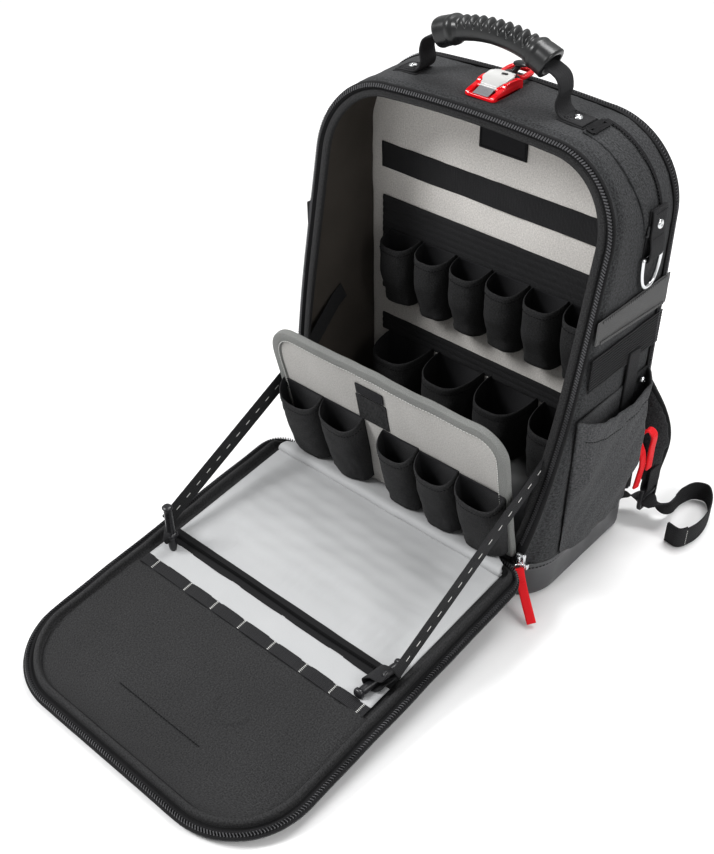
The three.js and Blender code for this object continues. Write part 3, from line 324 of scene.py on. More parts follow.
def evenly_with(path, extra, count):
    """A path and a value carried with it, both resampled at even arc length of the path."""
    step = np.r_[0, np.cumsum(np.linalg.norm(np.diff(path, axis=0), axis=1))]
    both = np.concatenate([path, extra], axis=1)
    at = (np.arange(count) + 0.5) / count * step[-1]
    return np.stack([np.interp(at, step, both[:, k]) for k in range(both.shape[1])], axis=1)


def pebble(name, centre, half, material, power=0.5, **rest):
    """A rounded block: latitude and longitude, both circles pushed out to oblongs, small poles."""
    lat = np.linspace(-math.pi / 2 + 0.02, math.pi / 2 - 0.02, 20)[:, None]
    lon = np.linspace(0, 2 * math.pi, 40, endpoint=False)[None]

    def push(x):
        return np.sign(x) * np.abs(x) ** power
    points = np.stack([push(np.cos(lat)) * push(np.cos(lon)), push(np.cos(lat)) * push(np.sin(lon)),
                       push(np.sin(lat)) * np.ones_like(lon)], axis=-1) * np.asarray(half, float)
    return skin(name, points + np.asarray(centre, float), material, around=True, ends=True, **rest)


def rod(name, a, b, radius, material, sides=12, rows=9, round_end=0.3, **rest):
    """A round bar from a to b whose radius eases in at both ends."""
    a, b = np.asarray(a, float), np.asarray(b, float)
    t = np.linspace(0, 1, rows)[:, None]
    r = radius * (1 - round_end * bump_line(np.minimum(t, 1 - t)[:, 0] * np.linalg.norm(b - a) / radius,
                                            0.6))
    across = np.array([0.3, 1, 0.2]) if abs(unit(b - a)[1]) < 0.9 else np.array([1.0, 0, 0])
    return sweep(name, a + (b - a) * t, across, 2 * r, 2 * r, material, section=round_section(sides),
                 **rest)


def join(name, pieces, replaces=()):
    """Several meshes in one piece, keeping their materials."""
    bpy.ops.object.select_all(action="DESELECT")
    for piece in pieces:
        piece.select_set(True)
    bpy.context.view_layer.objects.active = pieces[0]
    bpy.ops.object.join()
    pieces[0].name = name
    pieces[0].data.name = name
    if replaces:
        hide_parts(*replaces)
    return pieces[0]


# finishes
def shader(name, roughness, metallic=0.0, sheen=0.0, coat=0.0):
    """A new material and a helper that adds nodes. Steady values go on the shader's own sockets."""
    material = bpy.data.materials.new(name)
    material.use_nodes = True
    tree = material.node_tree
    principled = tree.nodes["Principled BSDF"]
    principled.inputs["Roughness"].default_value = roughness
    principled.inputs["Metallic"].default_value = metallic
    if sheen:
        principled.inputs["Sheen Weight"].default_value = sheen
        principled.inputs["Sheen Roughness"].default_value = 0.5
    if coat:
        principled.inputs["Coat Weight"].default_value = coat
        principled.inputs["Coat Roughness"].default_value = 0.15

    def node(kind, values=(), **settings):
        made = tree.nodes.new(kind)
        for key, value in settings.items():
            setattr(made, key, value)
        for key, value in dict(values).items():
            if isinstance(value, bpy.types.NodeSocket):
                tree.links.new(value, made.inputs[key])
            else:
                made.inputs[key].default_value = value
        return made
    return material, tree, principled, node


def scaled(colour, k):
    """The colour made lighter or darker, with its alpha."""
    return (*(min(c * k, 1.0) for c in colour), 1.0)


def cloth(name, colour, roughness=0.85, thread=1.1, depth=0.5, mottle=0.16, grain=0.35, sheen=0.03,
          rib=None, place="UV", weft_along="Y"):
    """Woven cloth: two crossed thread waves and a fine grain give the relief, a broad noise the colour's
    drift.

    thread is the pitch of the weave in mm, grain how much single threads differ, and rib a pitch in mm of
    raised rows along the first direction, as in webbing.
    """
    material, tree, principled, node = shader(name, roughness, sheen=sheen)
    principled.inputs["Specular IOR Level"].default_value = 0.22
    where = node("ShaderNodeTexCoord").outputs[place]
    threads = {"Vector": where, "Scale": 1000 / thread / 6.2832 * math.pi, "Distortion": 0.6, "Detail": 1.0}
    fine = node("ShaderNodeTexNoise", {"Vector": where, "Scale": 1000 / thread, "Detail": 2.0,
                                       "Roughness": 0.7})
    broad = node("ShaderNodeTexNoise", {"Vector": where, "Scale": 9.0, "Detail": 3.0, "Roughness": 0.55})
    warp = node("ShaderNodeTexWave", threads, bands_direction="X")
    weft = node("ShaderNodeTexWave", threads, bands_direction=weft_along)
    crossed = node("ShaderNodeMath", {0: warp.outputs["Fac"], 1: weft.outputs["Fac"]}, operation="ADD")
    relief = node("ShaderNodeMath", {0: crossed.outputs[0], 1: fine.outputs["Fac"]}, operation="ADD")
    height = relief.outputs[0]
    if rib:
        row = node("ShaderNodeTexWave", {"Vector": where, "Scale": 1000 / rib / 6.2832 * math.pi,
                                         "Distortion": 0.2}, bands_direction="Y", wave_profile="SIN")
        height = node("ShaderNodeMath", {0: row.outputs["Fac"], 1: 3.0, 2: height},
                      operation="MULTIPLY_ADD").outputs[0]
    tint = node("ShaderNodeValToRGB", {"Fac": fine.outputs["Fac"]})
    tint.color_ramp.elements[0].position, tint.color_ramp.elements[1].position = 0.3, 0.72
    tint.color_ramp.elements[0].color = scaled(colour, 1 - grain)
    tint.color_ramp.elements[1].color = scaled(colour, 1 + grain)
    drift = node("ShaderNodeValToRGB", {"Fac": broad.outputs["Fac"]})
    drift.color_ramp.elements[0].position, drift.color_ramp.elements[1].position = 0.3, 0.7
    drift.color_ramp.elements[0].color = (1 - mottle,) * 3 + (1,)
    drift.color_ramp.elements[1].color = (1.0, 1.0, 1.0, 1)
    mixed = node("ShaderNodeMix", {"Factor": 1.0, 6: tint.outputs["Color"], 7: drift.outputs["Color"]},
                 data_type="RGBA", blend_type="MULTIPLY")
    tree.links.new(mixed.outputs[2], principled.inputs["Base Color"])
    bump = node("ShaderNodeBump", {"Height": height, "Strength": depth, "Distance": 0.0003})
    tree.links.new(bump.outputs["Normal"], principled.inputs["Normal"])
    return material


def moulding(name, colour, roughness, metallic=0.0, grain_mm=0.9, depth=0.12, coat=0.0, mottle=0.1,
             rough_drift=0.12, place="Object"):
    """Moulded plastic, rubber or metal: fine grain in the relief, roughness that drifts with handling."""
    material, tree, principled, node = shader(name, roughness, metallic, coat=coat)
    where = node("ShaderNodeTexCoord").outputs[place]
    fine = node("ShaderNodeTexNoise", {"Vector": where, "Scale": 1000 / grain_mm, "Detail": 3.0})
    broad = node("ShaderNodeTexNoise", {"Vector": where, "Scale": 22.0, "Detail": 4.0, "Roughness": 0.6})
    tint = node("ShaderNodeValToRGB", {"Fac": broad.outputs["Fac"]})
    tint.color_ramp.elements[0].position, tint.color_ramp.elements[1].position = 0.3, 0.75
    tint.color_ramp.elements[0].color = scaled(colour, 1 - mottle)
    tint.color_ramp.elements[1].color = scaled(colour, 1 + mottle)
    tree.links.new(tint.outputs["Color"], principled.inputs["Base Color"])
    handled = node("ShaderNodeMapRange", {"Value": broad.outputs["Fac"], "From Min": 0.3, "From Max": 0.7,
                                          "To Min": max(roughness - rough_drift, 0.04),
                                          "To Max": roughness + rough_drift})
    tree.links.new(handled.outputs["Result"], principled.inputs["Roughness"])
    bump = node("ShaderNodeBump", {"Height": fine.outputs["Fac"], "Strength": depth, "Distance": 0.0002})
    tree.links.new(bump.outputs["Normal"], principled.inputs["Normal"])
    return material


CHARCOAL = cloth("charcoal_weave", (0.050, 0.051, 0.053), thread=2.0, depth=0.6, grain=0.62)
BLACK_CLOTH = cloth("black_weave", (0.035, 0.035, 0.036), thread=1.5, depth=0.5, grain=0.55)
CHARCOAL_BROAD = cloth("charcoal_weave_broad", (0.043, 0.044, 0.046), thread=2.0, depth=0.6, grain=0.62,
                       place="Object", weft_along="Z")
LINING = cloth("inner_lining", (0.085, 0.075, 0.065), thread=1.0, depth=0.3, grain=0.25, mottle=0.3)
INNER_CLOTH = cloth("pocket_weave", (0.020, 0.020, 0.022), thread=0.9, depth=0.35, grain=0.3, sheen=0.06)
BINDING_TAPE = cloth("binding_tape", (0.016, 0.016, 0.017), thread=0.7, depth=0.3, grain=0.25, rib=1.4)
WEBBING = cloth("black_webbing", (0.034, 0.034, 0.036), thread=0.9, depth=0.7, grain=0.3, rib=2.2)
GREY_WEBBING = cloth("grey_band", (0.125, 0.125, 0.125), thread=0.9, depth=0.6, grain=0.25, mottle=0.1)
SILVER_CLOTH = cloth("silver_lining", (0.41, 0.415, 0.42), roughness=0.55, thread=0.6, depth=0.15,
                     grain=0.07, mottle=0.07, sheen=0.25)
FELT = cloth("grey_felt", (0.38, 0.37, 0.355), roughness=0.95, thread=1.6, depth=0.35, grain=0.2,
             mottle=0.12, sheen=0.3)
FELT_BINDING = cloth("grey_binding", (0.30, 0.305, 0.295), thread=0.8, depth=0.8, grain=0.28, rib=1.9)
PULL_RED = cloth("red_tape", (0.72, 0.012, 0.020), roughness=0.5, thread=0.7, depth=0.25, grain=0.08,
                 mottle=0.12)
THREAD_BLACK = cloth("black_thread", (0.010, 0.010, 0.011), thread=0.4, depth=0.3, grain=0.2)
THREAD_PALE = cloth("pale_thread", (0.62, 0.62, 0.60), thread=0.4, depth=0.3, grain=0.1)
TOOTH = moulding("zip_tooth", (0.11, 0.11, 0.115), 0.34, 0.75, depth=0.05)
TRAY = moulding("tray_rubber", (0.062, 0.063, 0.066), 0.42, grain_mm=1.6, depth=0.22)
GRIP = moulding("grip_rubber", (0.014, 0.0145, 0.015), 0.3, grain_mm=1.2, depth=0.08)
BLACK_PLASTIC = moulding("black_plastic", (0.020, 0.020, 0.022), 0.34)
LATCH_RED = moulding("latch_red", (0.74, 0.008, 0.016), 0.22, coat=0.3, depth=0.03, mottle=0.05)
LATCH_WHITE = moulding("latch_white", (0.56, 0.56, 0.55), 0.25, coat=0.2, depth=0.03, mottle=0.04)
LATCH_GREY = moulding("latch_grey", (0.24, 0.24, 0.25), 0.4, depth=0.1)
STEEL = moulding("bright_steel", (0.66, 0.67, 0.68), 0.2, 1.0, depth=0.03, mottle=0.05)
MESH = cloth("spacer_mesh", (0.028, 0.028, 0.029), roughness=0.9, thread=3.2, depth=1.0, grain=0.5,
             place="Object", weft_along="Z")
PAD_CLOTH = cloth("pad_weave", (0.034, 0.034, 0.036), thread=1.9, depth=0.5, grain=0.6, place="Object",
                  weft_along="Z")
# Side pouch cloth: the body's charcoal cloth with its base colour lightened to about 0.082, a painted sheen
# standing in for the pouch's satin shine.
PAINTED_SHEEN_POUCH_CLOTH = cloth("pouch_weave_painted_sheen", (0.082, 0.083, 0.086), thread=2.0, depth=0.6, grain=0.55, mottle=0.25)
WALL_FELT = cloth("wall_felt", (0.62, 0.60, 0.575), roughness=0.95, thread=1.6, depth=0.35, grain=0.2,
                  mottle=0.12, sheen=0.3)
LABEL = cloth("label_patch", (0.013, 0.013, 0.015), roughness=0.6, thread=0.5, depth=0.15, grain=0.15,
              mottle=0.05)


# outlines
def arch_outline(count, bottom, closed=False):
    """The bag's outline seen from the front, from the lower right over the top to the lower left.

    Upright sides, quarter rounds and a slightly crowned top. Gives x, z and the outward direction at even
    steps.
    """
    a = np.linspace(0, math.pi / 2, 60)
    x = np.linspace(FLAT_TOP, -FLAT_TOP, 60)
    right = np.stack([FLAT_TOP + CORNER_R * np.cos(a), BODY_H - CORNER_R + CORNER_R * np.sin(a)], axis=1)
    top = np.stack([x, BODY_H + CROWN * (1 - (x / FLAT_TOP) ** 2)], axis=1)
    left = np.stack([-FLAT_TOP - CORNER_R * np.sin(a), BODY_H - CORNER_R + CORNER_R * np.cos(a)], axis=1)
    line = np.concatenate([[[HALF_W, bottom]], right, top[1:-1], left, [[-HALF_W, bottom]]])
    if closed:
        line = np.concatenate([line, [[HALF_W, bottom]]])
    points = evenly(line, count + closed)
    along = np.gradient(points, axis=0)
    outward = unit(np.stack([along[:, 1], -along[:, 0]], axis=1))
    if closed:
        points, outward = points[:-1], outward[:-1]
    return points, outward


def on_outline(points, outward, y, inset):
    """Rows along the outline, columns across it: y and inset may differ; base corners stay round."""
    x = points[:, None, 0] - outward[:, None, 0] * inset
    z = points[:, None, 1] - outward[:, None, 1] * inset
    limit = plan_half_width(y) - inset
    x = np.sign(x) * np.minimum(np.abs(x), np.maximum(limit, 0))
    return np.stack(np.broadcast_arrays(x, y, z), axis=-1)


def opening_inset(points, outward):
    """How far in from the outline the opening's edge lies: round lower corners, wider at the hinge."""
    z = np.maximum(points[:, 1], HINGE_Z + 0.3)
    upper = 15 + 2 * np.abs(outward[:, 0])
    low = np.clip(HINGE_Z + 50.3 - z, 0, 50)
    edge = 103 + np.sqrt(2500 - low ** 2)
    lower = plan_half_width(front_y(points[:, 1])) - edge
    return np.where(z < HINGE_Z + 50.3, np.maximum(lower, 15), upper)


def rounded_loop(half, near, far, near_r, far_r, arc=20, side=26):
    """Closed outline across and out from the hinge: a round at each corner, even steps on each part."""
    a = np.linspace(0, math.pi / 2, arc, endpoint=False)
    parts = []
    corners = ((half - far_r, far - far_r, far_r, 0.0, (half, near + near_r)),
               (-half + far_r, far - far_r, far_r, math.pi / 2, (half - far_r, far)),
               (-half + near_r, near + near_r, near_r, math.pi, (-half, far - far_r)),
               (half - near_r, near + near_r, near_r, 1.5 * math.pi, (-half + near_r, near)))
    for cu, cv, r, turn, start in corners:
        first = np.array([cu + r * math.cos(turn), cv + r * math.sin(turn)])
        share = np.linspace(0, 1, side, endpoint=False)[:, None]
        straight = np.array(start) + (first - np.array(start)) * share
        parts.append(straight)
        parts.append(np.stack([cu + r * np.cos(a + turn), cv + r * np.sin(a + turn)], axis=1))
    return np.concatenate(parts)


def flap_loop(inset, near=3.0):
    """The flap's outline, so far in from its edge."""
    return rounded_loop(HALF_W - inset, near + inset * 0.4, FLAP_L - inset, max(26 - inset, 3),
                        CORNER_R - inset)


# base tray
def make_tray():
    """Rounded base outline carried up a profile: rolled lower edge, wall, stitched lip, inner wall."""
    profile = [(12, 0.0), (7, 0.0), (4.6, 0.5), (2.4, 2.0), (0.8, 4.6), (0.1, 8), (0, 16), (0.2, 26),
               (0.1, 36), (-0.4, 38.5), (-0.9, 40), (-0.9, 43), (-0.6, 45.2), (0.4, 46.2), (1.6, 46),
               (2.8, 45), (3, 30), (3, 4)]
    loops = []
    for inset, z in profile:
        loop = rounded_loop(HALF_W - inset, -BODY_D / 2 + inset, BODY_D / 2 - inset, PLAN_FRONT_R - inset,
                            max(PLAN_REAR_R - inset, 2))
        loops.append(np.column_stack([loop, np.full(len(loop), z)]))
    points = np.array(loops)
    sag = 0.6 * crumple(points[..., 0] + points[..., 1], points[..., 2], 120, 3)
    centre = np.array([0, 0, 0])
    direction = unit(points * [1, 1, 0] - centre)
    points = points + direction * sag[..., None] * ease(points[..., 2:] / 10)
    skin("tray", points, TRAY, around=True, ends=True, replaces=("base_tray",), slot="base_moulding")
    seam = rounded_loop(HALF_W + 0.9, -BODY_D / 2 - 0.9, BODY_D / 2 + 0.9, PLAN_FRONT_R, PLAN_REAR_R)
    path = np.column_stack([seam, np.full(len(seam), 41.6)])
    row_of_blocks("tray_stitches", path, [0, 0, 1], 4.0, (2.9, 0.8, 0.7), THREAD_BLACK, closed=True)


make_tray()


# body
def make_body():
    """A closed skin carried along the arch: outer cloth, zip edge, front flange and inner lining."""
    line, outward = arch_outline(260, TRAY_H + 0.3)
    z = line[:, 1:2]
    front, seam = front_y(z), rear_y(z) - 7
    flange = opening_inset(line, outward)[:, None]
    k = np.linspace(0, 1, 44)[None]
    y = seam + (front + 2.4 - seam) * k
    ahead = y - front
    along = np.linspace(0, 1, len(line))[:, None] * 1200
    swell = 1.0 * np.sin(math.pi * np.clip(ahead - 12, 0, 120) / 120) * ease((z - 46) / 40)
    inset = 4.2 * bump_line(ahead - 7.5, 3.6) - swell + 0.7 * crumple(along, y, 150, 5) * ease(ahead / 30)
    inset = inset + 0.8 * bump_line(y - seam, 3) + 0.35 * crumple(along, y, 34, 6) * ease(ahead / 20)
    edge = ((1.0, 0.9), (0.1, 1.6), (-0.5, 3.5), (-0.5, 6.4), (0.7, 7.2), (1.4, 8.2), (0.6, 9.0),
            (-0.7, 9.8), (-1.3, 11.5))
    inner = ((-1.5, -4.0), (-1.3, -1.6), (-0.5, -0.4), (1.2, 0.0), (3.2, -0.1), (4.6, -0.9), (5.2, -3.0))
    ones = np.ones_like(z)
    ys = [y]
    insets = [inset]
    for d, i in edge:
        ys.append(front + d * ones)
        insets.append(i * ones)
    for d, i in inner:
        ys.append(front + d * ones)
        insets.append(flange + i)
    for d, i in ((5.4, 9.5), (7.0, 7.4)):
        ys.append(front + d * ones)
        insets.append(i * ones)
    back = wall_y(z) + 4
    k = np.linspace(0.06, 1, 14)[None]
    lining = front + 7 + (back - front - 7) * k
    ys.append(lining)
    insets.append(6.6 + 0.5 * crumple(along, lining, 90, 8) + 0 * lining)
    ys += [seam - 1, seam]
    insets += [6.4 * ones, 3.0 * ones]
    widths = np.cumsum([0] + [a.shape[1] for a in ys])
    y = np.concatenate(ys, axis=1)
    inset = np.concatenate(insets, axis=1)
    points = on_outline(line, outward, y, inset)
    tape, face, inside = int(widths[1]) - 1, int(widths[7]), int(widths[16])
    bands = ((0, CHARCOAL), (tape, BINDING_TAPE), (face, BLACK_CLOTH), (inside, LINING))
    skin("body_cloth", points, CHARCOAL, around=True, ends=True, bands=bands, replaces=("body_shell",),
         slot="charcoal_fabric")
    path = on_outline(line, outward, front - 1.3, 3.6 * ones)[:, 0]
    path = path[path[:, 2] > FRONT_ZIP_FOOT]
    out3 = np.column_stack([outward[:, 0], np.zeros(len(outward)), outward[:, 1]])
    out3 = out3[line[:, 1] > FRONT_ZIP_FOOT][:len(path)]
    row_of_blocks("front_teeth", path, out3, 2.8, (1.3, 4.2, 1.7), TOOTH, lift=0.3, slant=0.5,
                  replaces=("body_zip",), slot="steel")


def make_sill():
    """The low front edge of the body behind the hinge: a rounded band from corner to corner."""
    x = np.linspace(-112, 112, 60)
    path = np.stack([x, front_y(52) + 2.4 + 0 * x, 52.6 + 0 * x], axis=1)
    sweep("sill", path, [0, FRONT_LEAN, 1], 13.5, 4.4, BLACK_CLOTH)


def make_rear():
    """Rim and rear face in one closed skin: profile from the seam round the edge and in to the middle."""
    line, outward = arch_outline(300, TRAY_H + 0.3, closed=True)
    z = line[:, 1:2]
    rear = rear_y(z)
    ones = np.ones_like(z)
    profile = [(-6.8, 5.8), (-6.8, 2.2), (-6.2, 0.6), (-4.8, -0.4), (-3.4, -0.7), (-2.2, -0.4),
               (-1.4, 0.6), (-0.9, -0.6), (0.2, -0.9), (0.8, -0.2), (0.9, 0.8), (0.5, 2.0), (0.0, 3.0),
               (0.1, 6), (0.2, 12)]
    y = np.concatenate([rear + d for d, _ in profile], axis=1)
    inset = np.concatenate([i * ones for _, i in profile], axis=1)
    points = on_outline(line, outward, y, inset)
    share = np.linspace(0, 0.985, 22)[None, 1:, None]
    edge = points[:, -1:]
    centre = np.array([0, 0, 245.0])
    face = edge + (centre - edge) * share
    face[..., 1] = rear_y(face[..., 2]) + 0.2
    points = np.concatenate([points, face], axis=1)
    skin("rear_cloth", points.transpose(1, 0, 2), CHARCOAL_BROAD, around=True, ends=True,
         replaces=("rear_shell",), slot="charcoal_fabric")
    line, outward = arch_outline(260, 100)
    path = on_outline(line, outward, rear_y(line[:, 1:2]) - 6.9, -1.6 * np.ones((len(line), 1)))[:, 0]
    path = path[path[:, 2] > REAR_ZIP_FOOT]
    tape = sweep("rear_tape", path, [0, 1, 0], 8.5, 1.5, BINDING_TAPE)
    teeth = row_of_blocks("rear_teeth", path, [0, 1, 0], 2.8, (1.3, 4.0, 1.7), TOOTH, lift=1.0, slant=0.5,
                          away=np.array([0.0, 80, 250]))
    join("rear_zip_chain", [tape, teeth], replaces=("rear_zip",))


make_body()
make_sill()
make_rear()


# front flap
def flap_half(v, inset):
    """Half width inside the flap's rim at a distance from the hinge, rounding in at the far corners."""
    r = CORNER_R - inset
    into = np.clip(v - (FLAP_L - CORNER_R), 0, r)
    return HALF_W - CORNER_R + np.sqrt(r ** 2 - into ** 2)


def flap_sheet(name, v0, v1, lift, material, inset=20.5, rows=60, columns=90, thick=1.2, **rest):
    """Cloth laid on the flap from one distance to another, its lift given over across, out and share."""
    t = np.linspace(0, 1, rows)[:, None]
    s = np.linspace(-1, 1, columns)[None]
    v = v0 + (v1 - v0) * t + 0 * s
    u = s * flap_half(v, inset)
    w = lift(u, v, s, t)
    points = flap_point(u, v, w)
    return skin(name, points, material, inside=flap_point(0, (v0 + v1) / 2, -60), thick=thick, **rest)


def make_flap():
    """The flap's outline carried up a profile: underside, zip edge, gap, bound rim and panel."""
    profile = [(34, -12), (12, -12.2), (4, -12), (0.2, -11.2), (-1.8, -9.6), (-2.8, -7.6), (-3.0, -5.4),
               (-2.6, -4.6), (-1.6, -4.1), (4.4, -4.0), (5.4, -4.9), (6.4, -5.6), (7.2, -4.0),
               (7.6, -1.6), (8.2, 0.8), (9.4, 2.2), (11.2, 2.6), (12.8, 1.9), (13.6, 0.2), (14.0, -2.4),
               (15.0, -5.2), (30, -5.4)]
    loops = []
    for inset, w in profile:
        loop = flap_loop(inset)
        near = ease((loop[:, 1] - 6) / 16)
        lift = np.where(w > -5.5, -5.5 + (w + 5.5) * near, w)
        soft = 0.7 * crumple(loop[:, 0] * 1.3, loop[:, 1], 90, 12) * ease((w + 12) / 4)
        loops.append(flap_point(loop[:, 0], loop[:, 1], lift + soft))
    bands = ((0, CHARCOAL), (6, BINDING_TAPE), (12, BLACK_CLOTH))
    skin("flap_cloth", np.array(loops), CHARCOAL, around=True, ends=True, row_bands=bands,
         replaces=("flap_shell",), slot="charcoal_fabric")
    loop = flap_loop(0.8)
    loop = np.roll(loop, 10, axis=0)
    path = flap_point(loop[:, 0], loop[:, 1], -4.0)
    centre = flap_point(0, 200, -4.0)
    row_of_blocks("flap_teeth", path, unit(path - centre), 2.8, (1.3, 4.2, 1.7), TOOTH, lift=0.9, slant=0.5,
                  closed=True, up=[0, 0, 1], replaces=("flap_zip",), slot="steel")


def make_flap_cloths():
    """From the hinge out: hem fold, zipped pocket, zip band, pale strip, elastic loops, black panel."""
    def pocket_lift(u, v, s, t):
        rise = 4.2 * np.sin(math.pi * t) ** 0.7 * (1 - s * s)
        diagonal = 2.3 * crumple(u * 0.55 + v * 1.2, v * 0.5 - u * 0.4, 105, 21, 3)
        gather = 0.9 * crumple(u, v * 0.18, 26, 22, 2) * bump_line(t - 1, 0.3)
        folds = (diagonal + gather) * np.sin(math.pi * t) ** 0.5 * (1 - s ** 8)
        return np.maximum(-4.5 + rise + folds, -4.7)
    flap_sheet("grey_flap_pocket", 17, 174, pocket_lift, SILVER_CLOTH, rows=110, columns=170, thick=0.8,
               replaces=("flap_pocket",), slot="silver_grey_fabric")

    def flat(height, wave=0.5, seed=1):
        return lambda u, v, s, t: height + wave * crumple(u, v, 60, seed, 2)
    band = flap_sheet("flap_zip_band", 171.5, 188, flat(-3.1, 0.4, 2), BINDING_TAPE, rows=14, thick=1.2)
    u = np.linspace(-147, 147, 160)
    teeth = row_of_blocks("pocket_teeth", flap_point(u, 179.5 + 0.5 * np.sin(u / 30), -2.3), [0, 1, 0], 2.4,
                          (1.2, 4.0, 1.4), THREAD_BLACK, lift=0.3)
    join("flap_pocket_zip", [band, teeth], replaces=("pocket_zip",))
    flap_sheet("pale_flap_strip", 187.5, 214, flat(-3.6, 0.7, 3), SILVER_CLOTH, rows=20, thick=0.8,
               replaces=("grey_strip",), slot="silver_grey_fabric")

    marks = np.array([-133, -85, -47, -9, 31, 72, 109, 142.0])

    def loop_lift(u, v, s, t):
        nearest = np.abs(u[..., None] - marks).min(axis=-1)
        return -3.9 + 1.0 * ease(nearest / 12) + 0.2 * crumple(u, v, 40, 4, 2)
    flap_sheet("flap_elastic", 213.5, 226, loop_lift, WEBBING, rows=16, columns=240, thick=1.3,
               replaces=("elastic_loops",), slot="black_fabric")
    tack_u = np.repeat(marks, 7)
    tack_v = np.tile(np.linspace(214.8, 224.8, 7), len(marks))
    where = flap_point(tack_u, tack_v, -3.4)
    row = flap_point(1, 0, 0) - flap_point(0, 0, 0)
    out = flap_point(0, 1, 0) - flap_point(0, 0, 0)
    up = flap_point(0, 0, 1) - flap_point(0, 0, 0)
    spread = [np.broadcast_to(axis, where.shape) for axis in (row, out, up)]
    repeat("flap_bartacks", tapered_block(2.2, 0.8, 0.8), BLOCK_FACES, where, spread, THREAD_PALE)

    def panel_lift(u, v, s, t):
        notch = 1.8 * bump_line(np.hypot((u - 51) / 1.2, v - 292) - 15, 2.2) * (v > 289)
        seam = -0.8 * bump_line(v - 338, 1.4) * (np.abs(u - 4) < 54)
        far = 1.6 * np.sin(math.pi * t) * (1 - s * s)
        return -4.4 + far + notch + seam + 0.7 * crumple(u, v, 90, 5, 3)
    flap_sheet("black_flap_panel", 225, 381.5, panel_lift, BLACK_CLOTH, inset=14.5, rows=90, columns=150,
               thick=0.8, replaces=("flap_lining",), slot="black_fabric")
    u = np.linspace(-50, 58, 60)
    seam = flap_point(u, 338 + 0 * u, panel_lift(u, 338 + 0 * u, u / 156, 0.72 + 0 * u) + 1.4)
    row_of_blocks("flap_panel_stitches", seam, out, 3.4, (2.3, 0.8, 0.8), THREAD_BLACK, up=up)

    u = np.linspace(-1, 1, 130)
    fold = np.array([(-9, -2.2), (-4, -0.6), (2, 0.6), (7, 1.6), (11, 2.6), (15, 3.2), (18.5, 2.6),
                     (21, 0.4), (22, -2.6), (21, -5.6), (12, -6.4), (0, -4.6), (-8, -3.6)])
    half = np.interp(fold[:, 0], [-9, 3, 10, 22], [120, 132, 146, 150])
    out = fold[None, :, 0] + 0.5 * crumple(u * 150, 0 * u, 70, 6, 2)[:, None]
    rise = fold[None, :, 1] + 0.5 * crumple(u * 150, 0 * u, 50, 7, 2)[:, None]
    points = flap_point(half[None] * u[:, None], out, rise)
    skin("hinge_fold", points, SILVER_CLOTH, around=True, ends=True)


make_flap()
make_flap_cloths()


# pockets
def pocket_rows(height, thick, taper):
    """Heights, sizes and wall offsets up the outside of a pocket, over its mouth and down the inside."""
    outer = np.linspace(0, height - 1, 26)
    rows = [(h, taper + (1 - taper) * ease(h / height / 0.55), 0.0,
             ease((h - height * 0.5) / (height * 0.5))) for h in outer]
    rows += [(height - 0.3, 1, 0.35 * thick, 1), (height, 1, 0.6 * thick, 1), (height - 0.4, 1, thick, 1)]
    rows += [(h, taper + (1 - taper) * ease(h / height / 0.55), thick,
              ease((h - height * 0.5) / (height * 0.5))) for h in np.linspace(height - 3, 3, 12)]
    return np.array(rows), len(outer) + 1


def make_pocket(name, place, width, depth, height, drop, material, thick=1.5, taper=0.8, seed=0,
                wrinkle=1.2, hem=8.0, node=None):
    """A rounded pocket, open at the top: half-round outline carried up, over the mouth and down inside.

    place turns across, forward and up into row frame points. The mouth droops in the middle, the cloth
    wrinkles more towards the foot, and a hem of doubled cloth runs along the mouth above a row of
    stitches.
    """
    rows, inside = pocket_rows(height, thick, taper)
    a = np.linspace(0, math.pi, 37)[None]
    h, k, wall, fall = (rows[:, i:i + 1] for i in range(4))
    w = width * (0.7 + 0.3 * k) - 2 * wall
    d = depth * k - 2 * wall
    cos, sin = np.cos(a), np.clip(np.sin(a), 0, 1)
    x = w / 2 * np.sign(cos) * np.abs(cos) ** 0.7
    y = wall + d * sin ** 0.75
    z = h - drop * sin * fall
    more_below = 0.4 + 0.6 * (1 - h / height)
    folds = wrinkle * crumple(a * width * 0.6 + 0 * h, h, 40, seed, 3) * sin * more_below
    folds = folds + 0.5 * (wall == 0) * ease((h - height + hem) / 1.2) * sin
    x = x + cos * folds
    y = y + sin * folds
    points = place(x, y, z)
    middle = place(0, depth * 0.4, height / 2)
    bands = ((0, material), (inside, INNER_CLOTH))
    piece = skin(name, points, material, inside=middle, around=True, ends=True, row_bands=bands)
    at = slice(2, 35)
    row = int(np.argmin(np.abs(rows[:inside, 0] - (height - hem - 0.6))))
    path = points[row, at]
    up = unit(points[row + 1, at] - path)
    stitches = row_of_blocks(name + "_stitches", path, up, 3.2, (2.3, 0.7, 0.6), THREAD_BLACK,
                             away=middle, lift=0.2)
    return join(name, [piece, stitches], replaces=(node or name,))


# pocket board
def board_loop(inset, foot=0.0):
    """Outline of the pocket board: upright sides, round upper corners, lower right over the top."""
    a = np.linspace(0, math.pi / 2, 24)
    w, top, r = BOARD_HALF_W - inset, BOARD_H - inset, BOARD_R - inset
    right = np.stack([w - r + r * np.cos(a), top - r + r * np.sin(a)], axis=1)
    left = np.stack([-w + r - r * np.sin(a), top - r + r * np.cos(a)], axis=1)
    return evenly(np.concatenate([[[w, foot]], right, left, [[-w, foot]]]), 170)


def board_wave(x, z):
    """Gentle waves in the board's felt, shared by its faces, its binding and the stitches."""
    return 0.9 * crumple(x, z, 110, 31, 3)


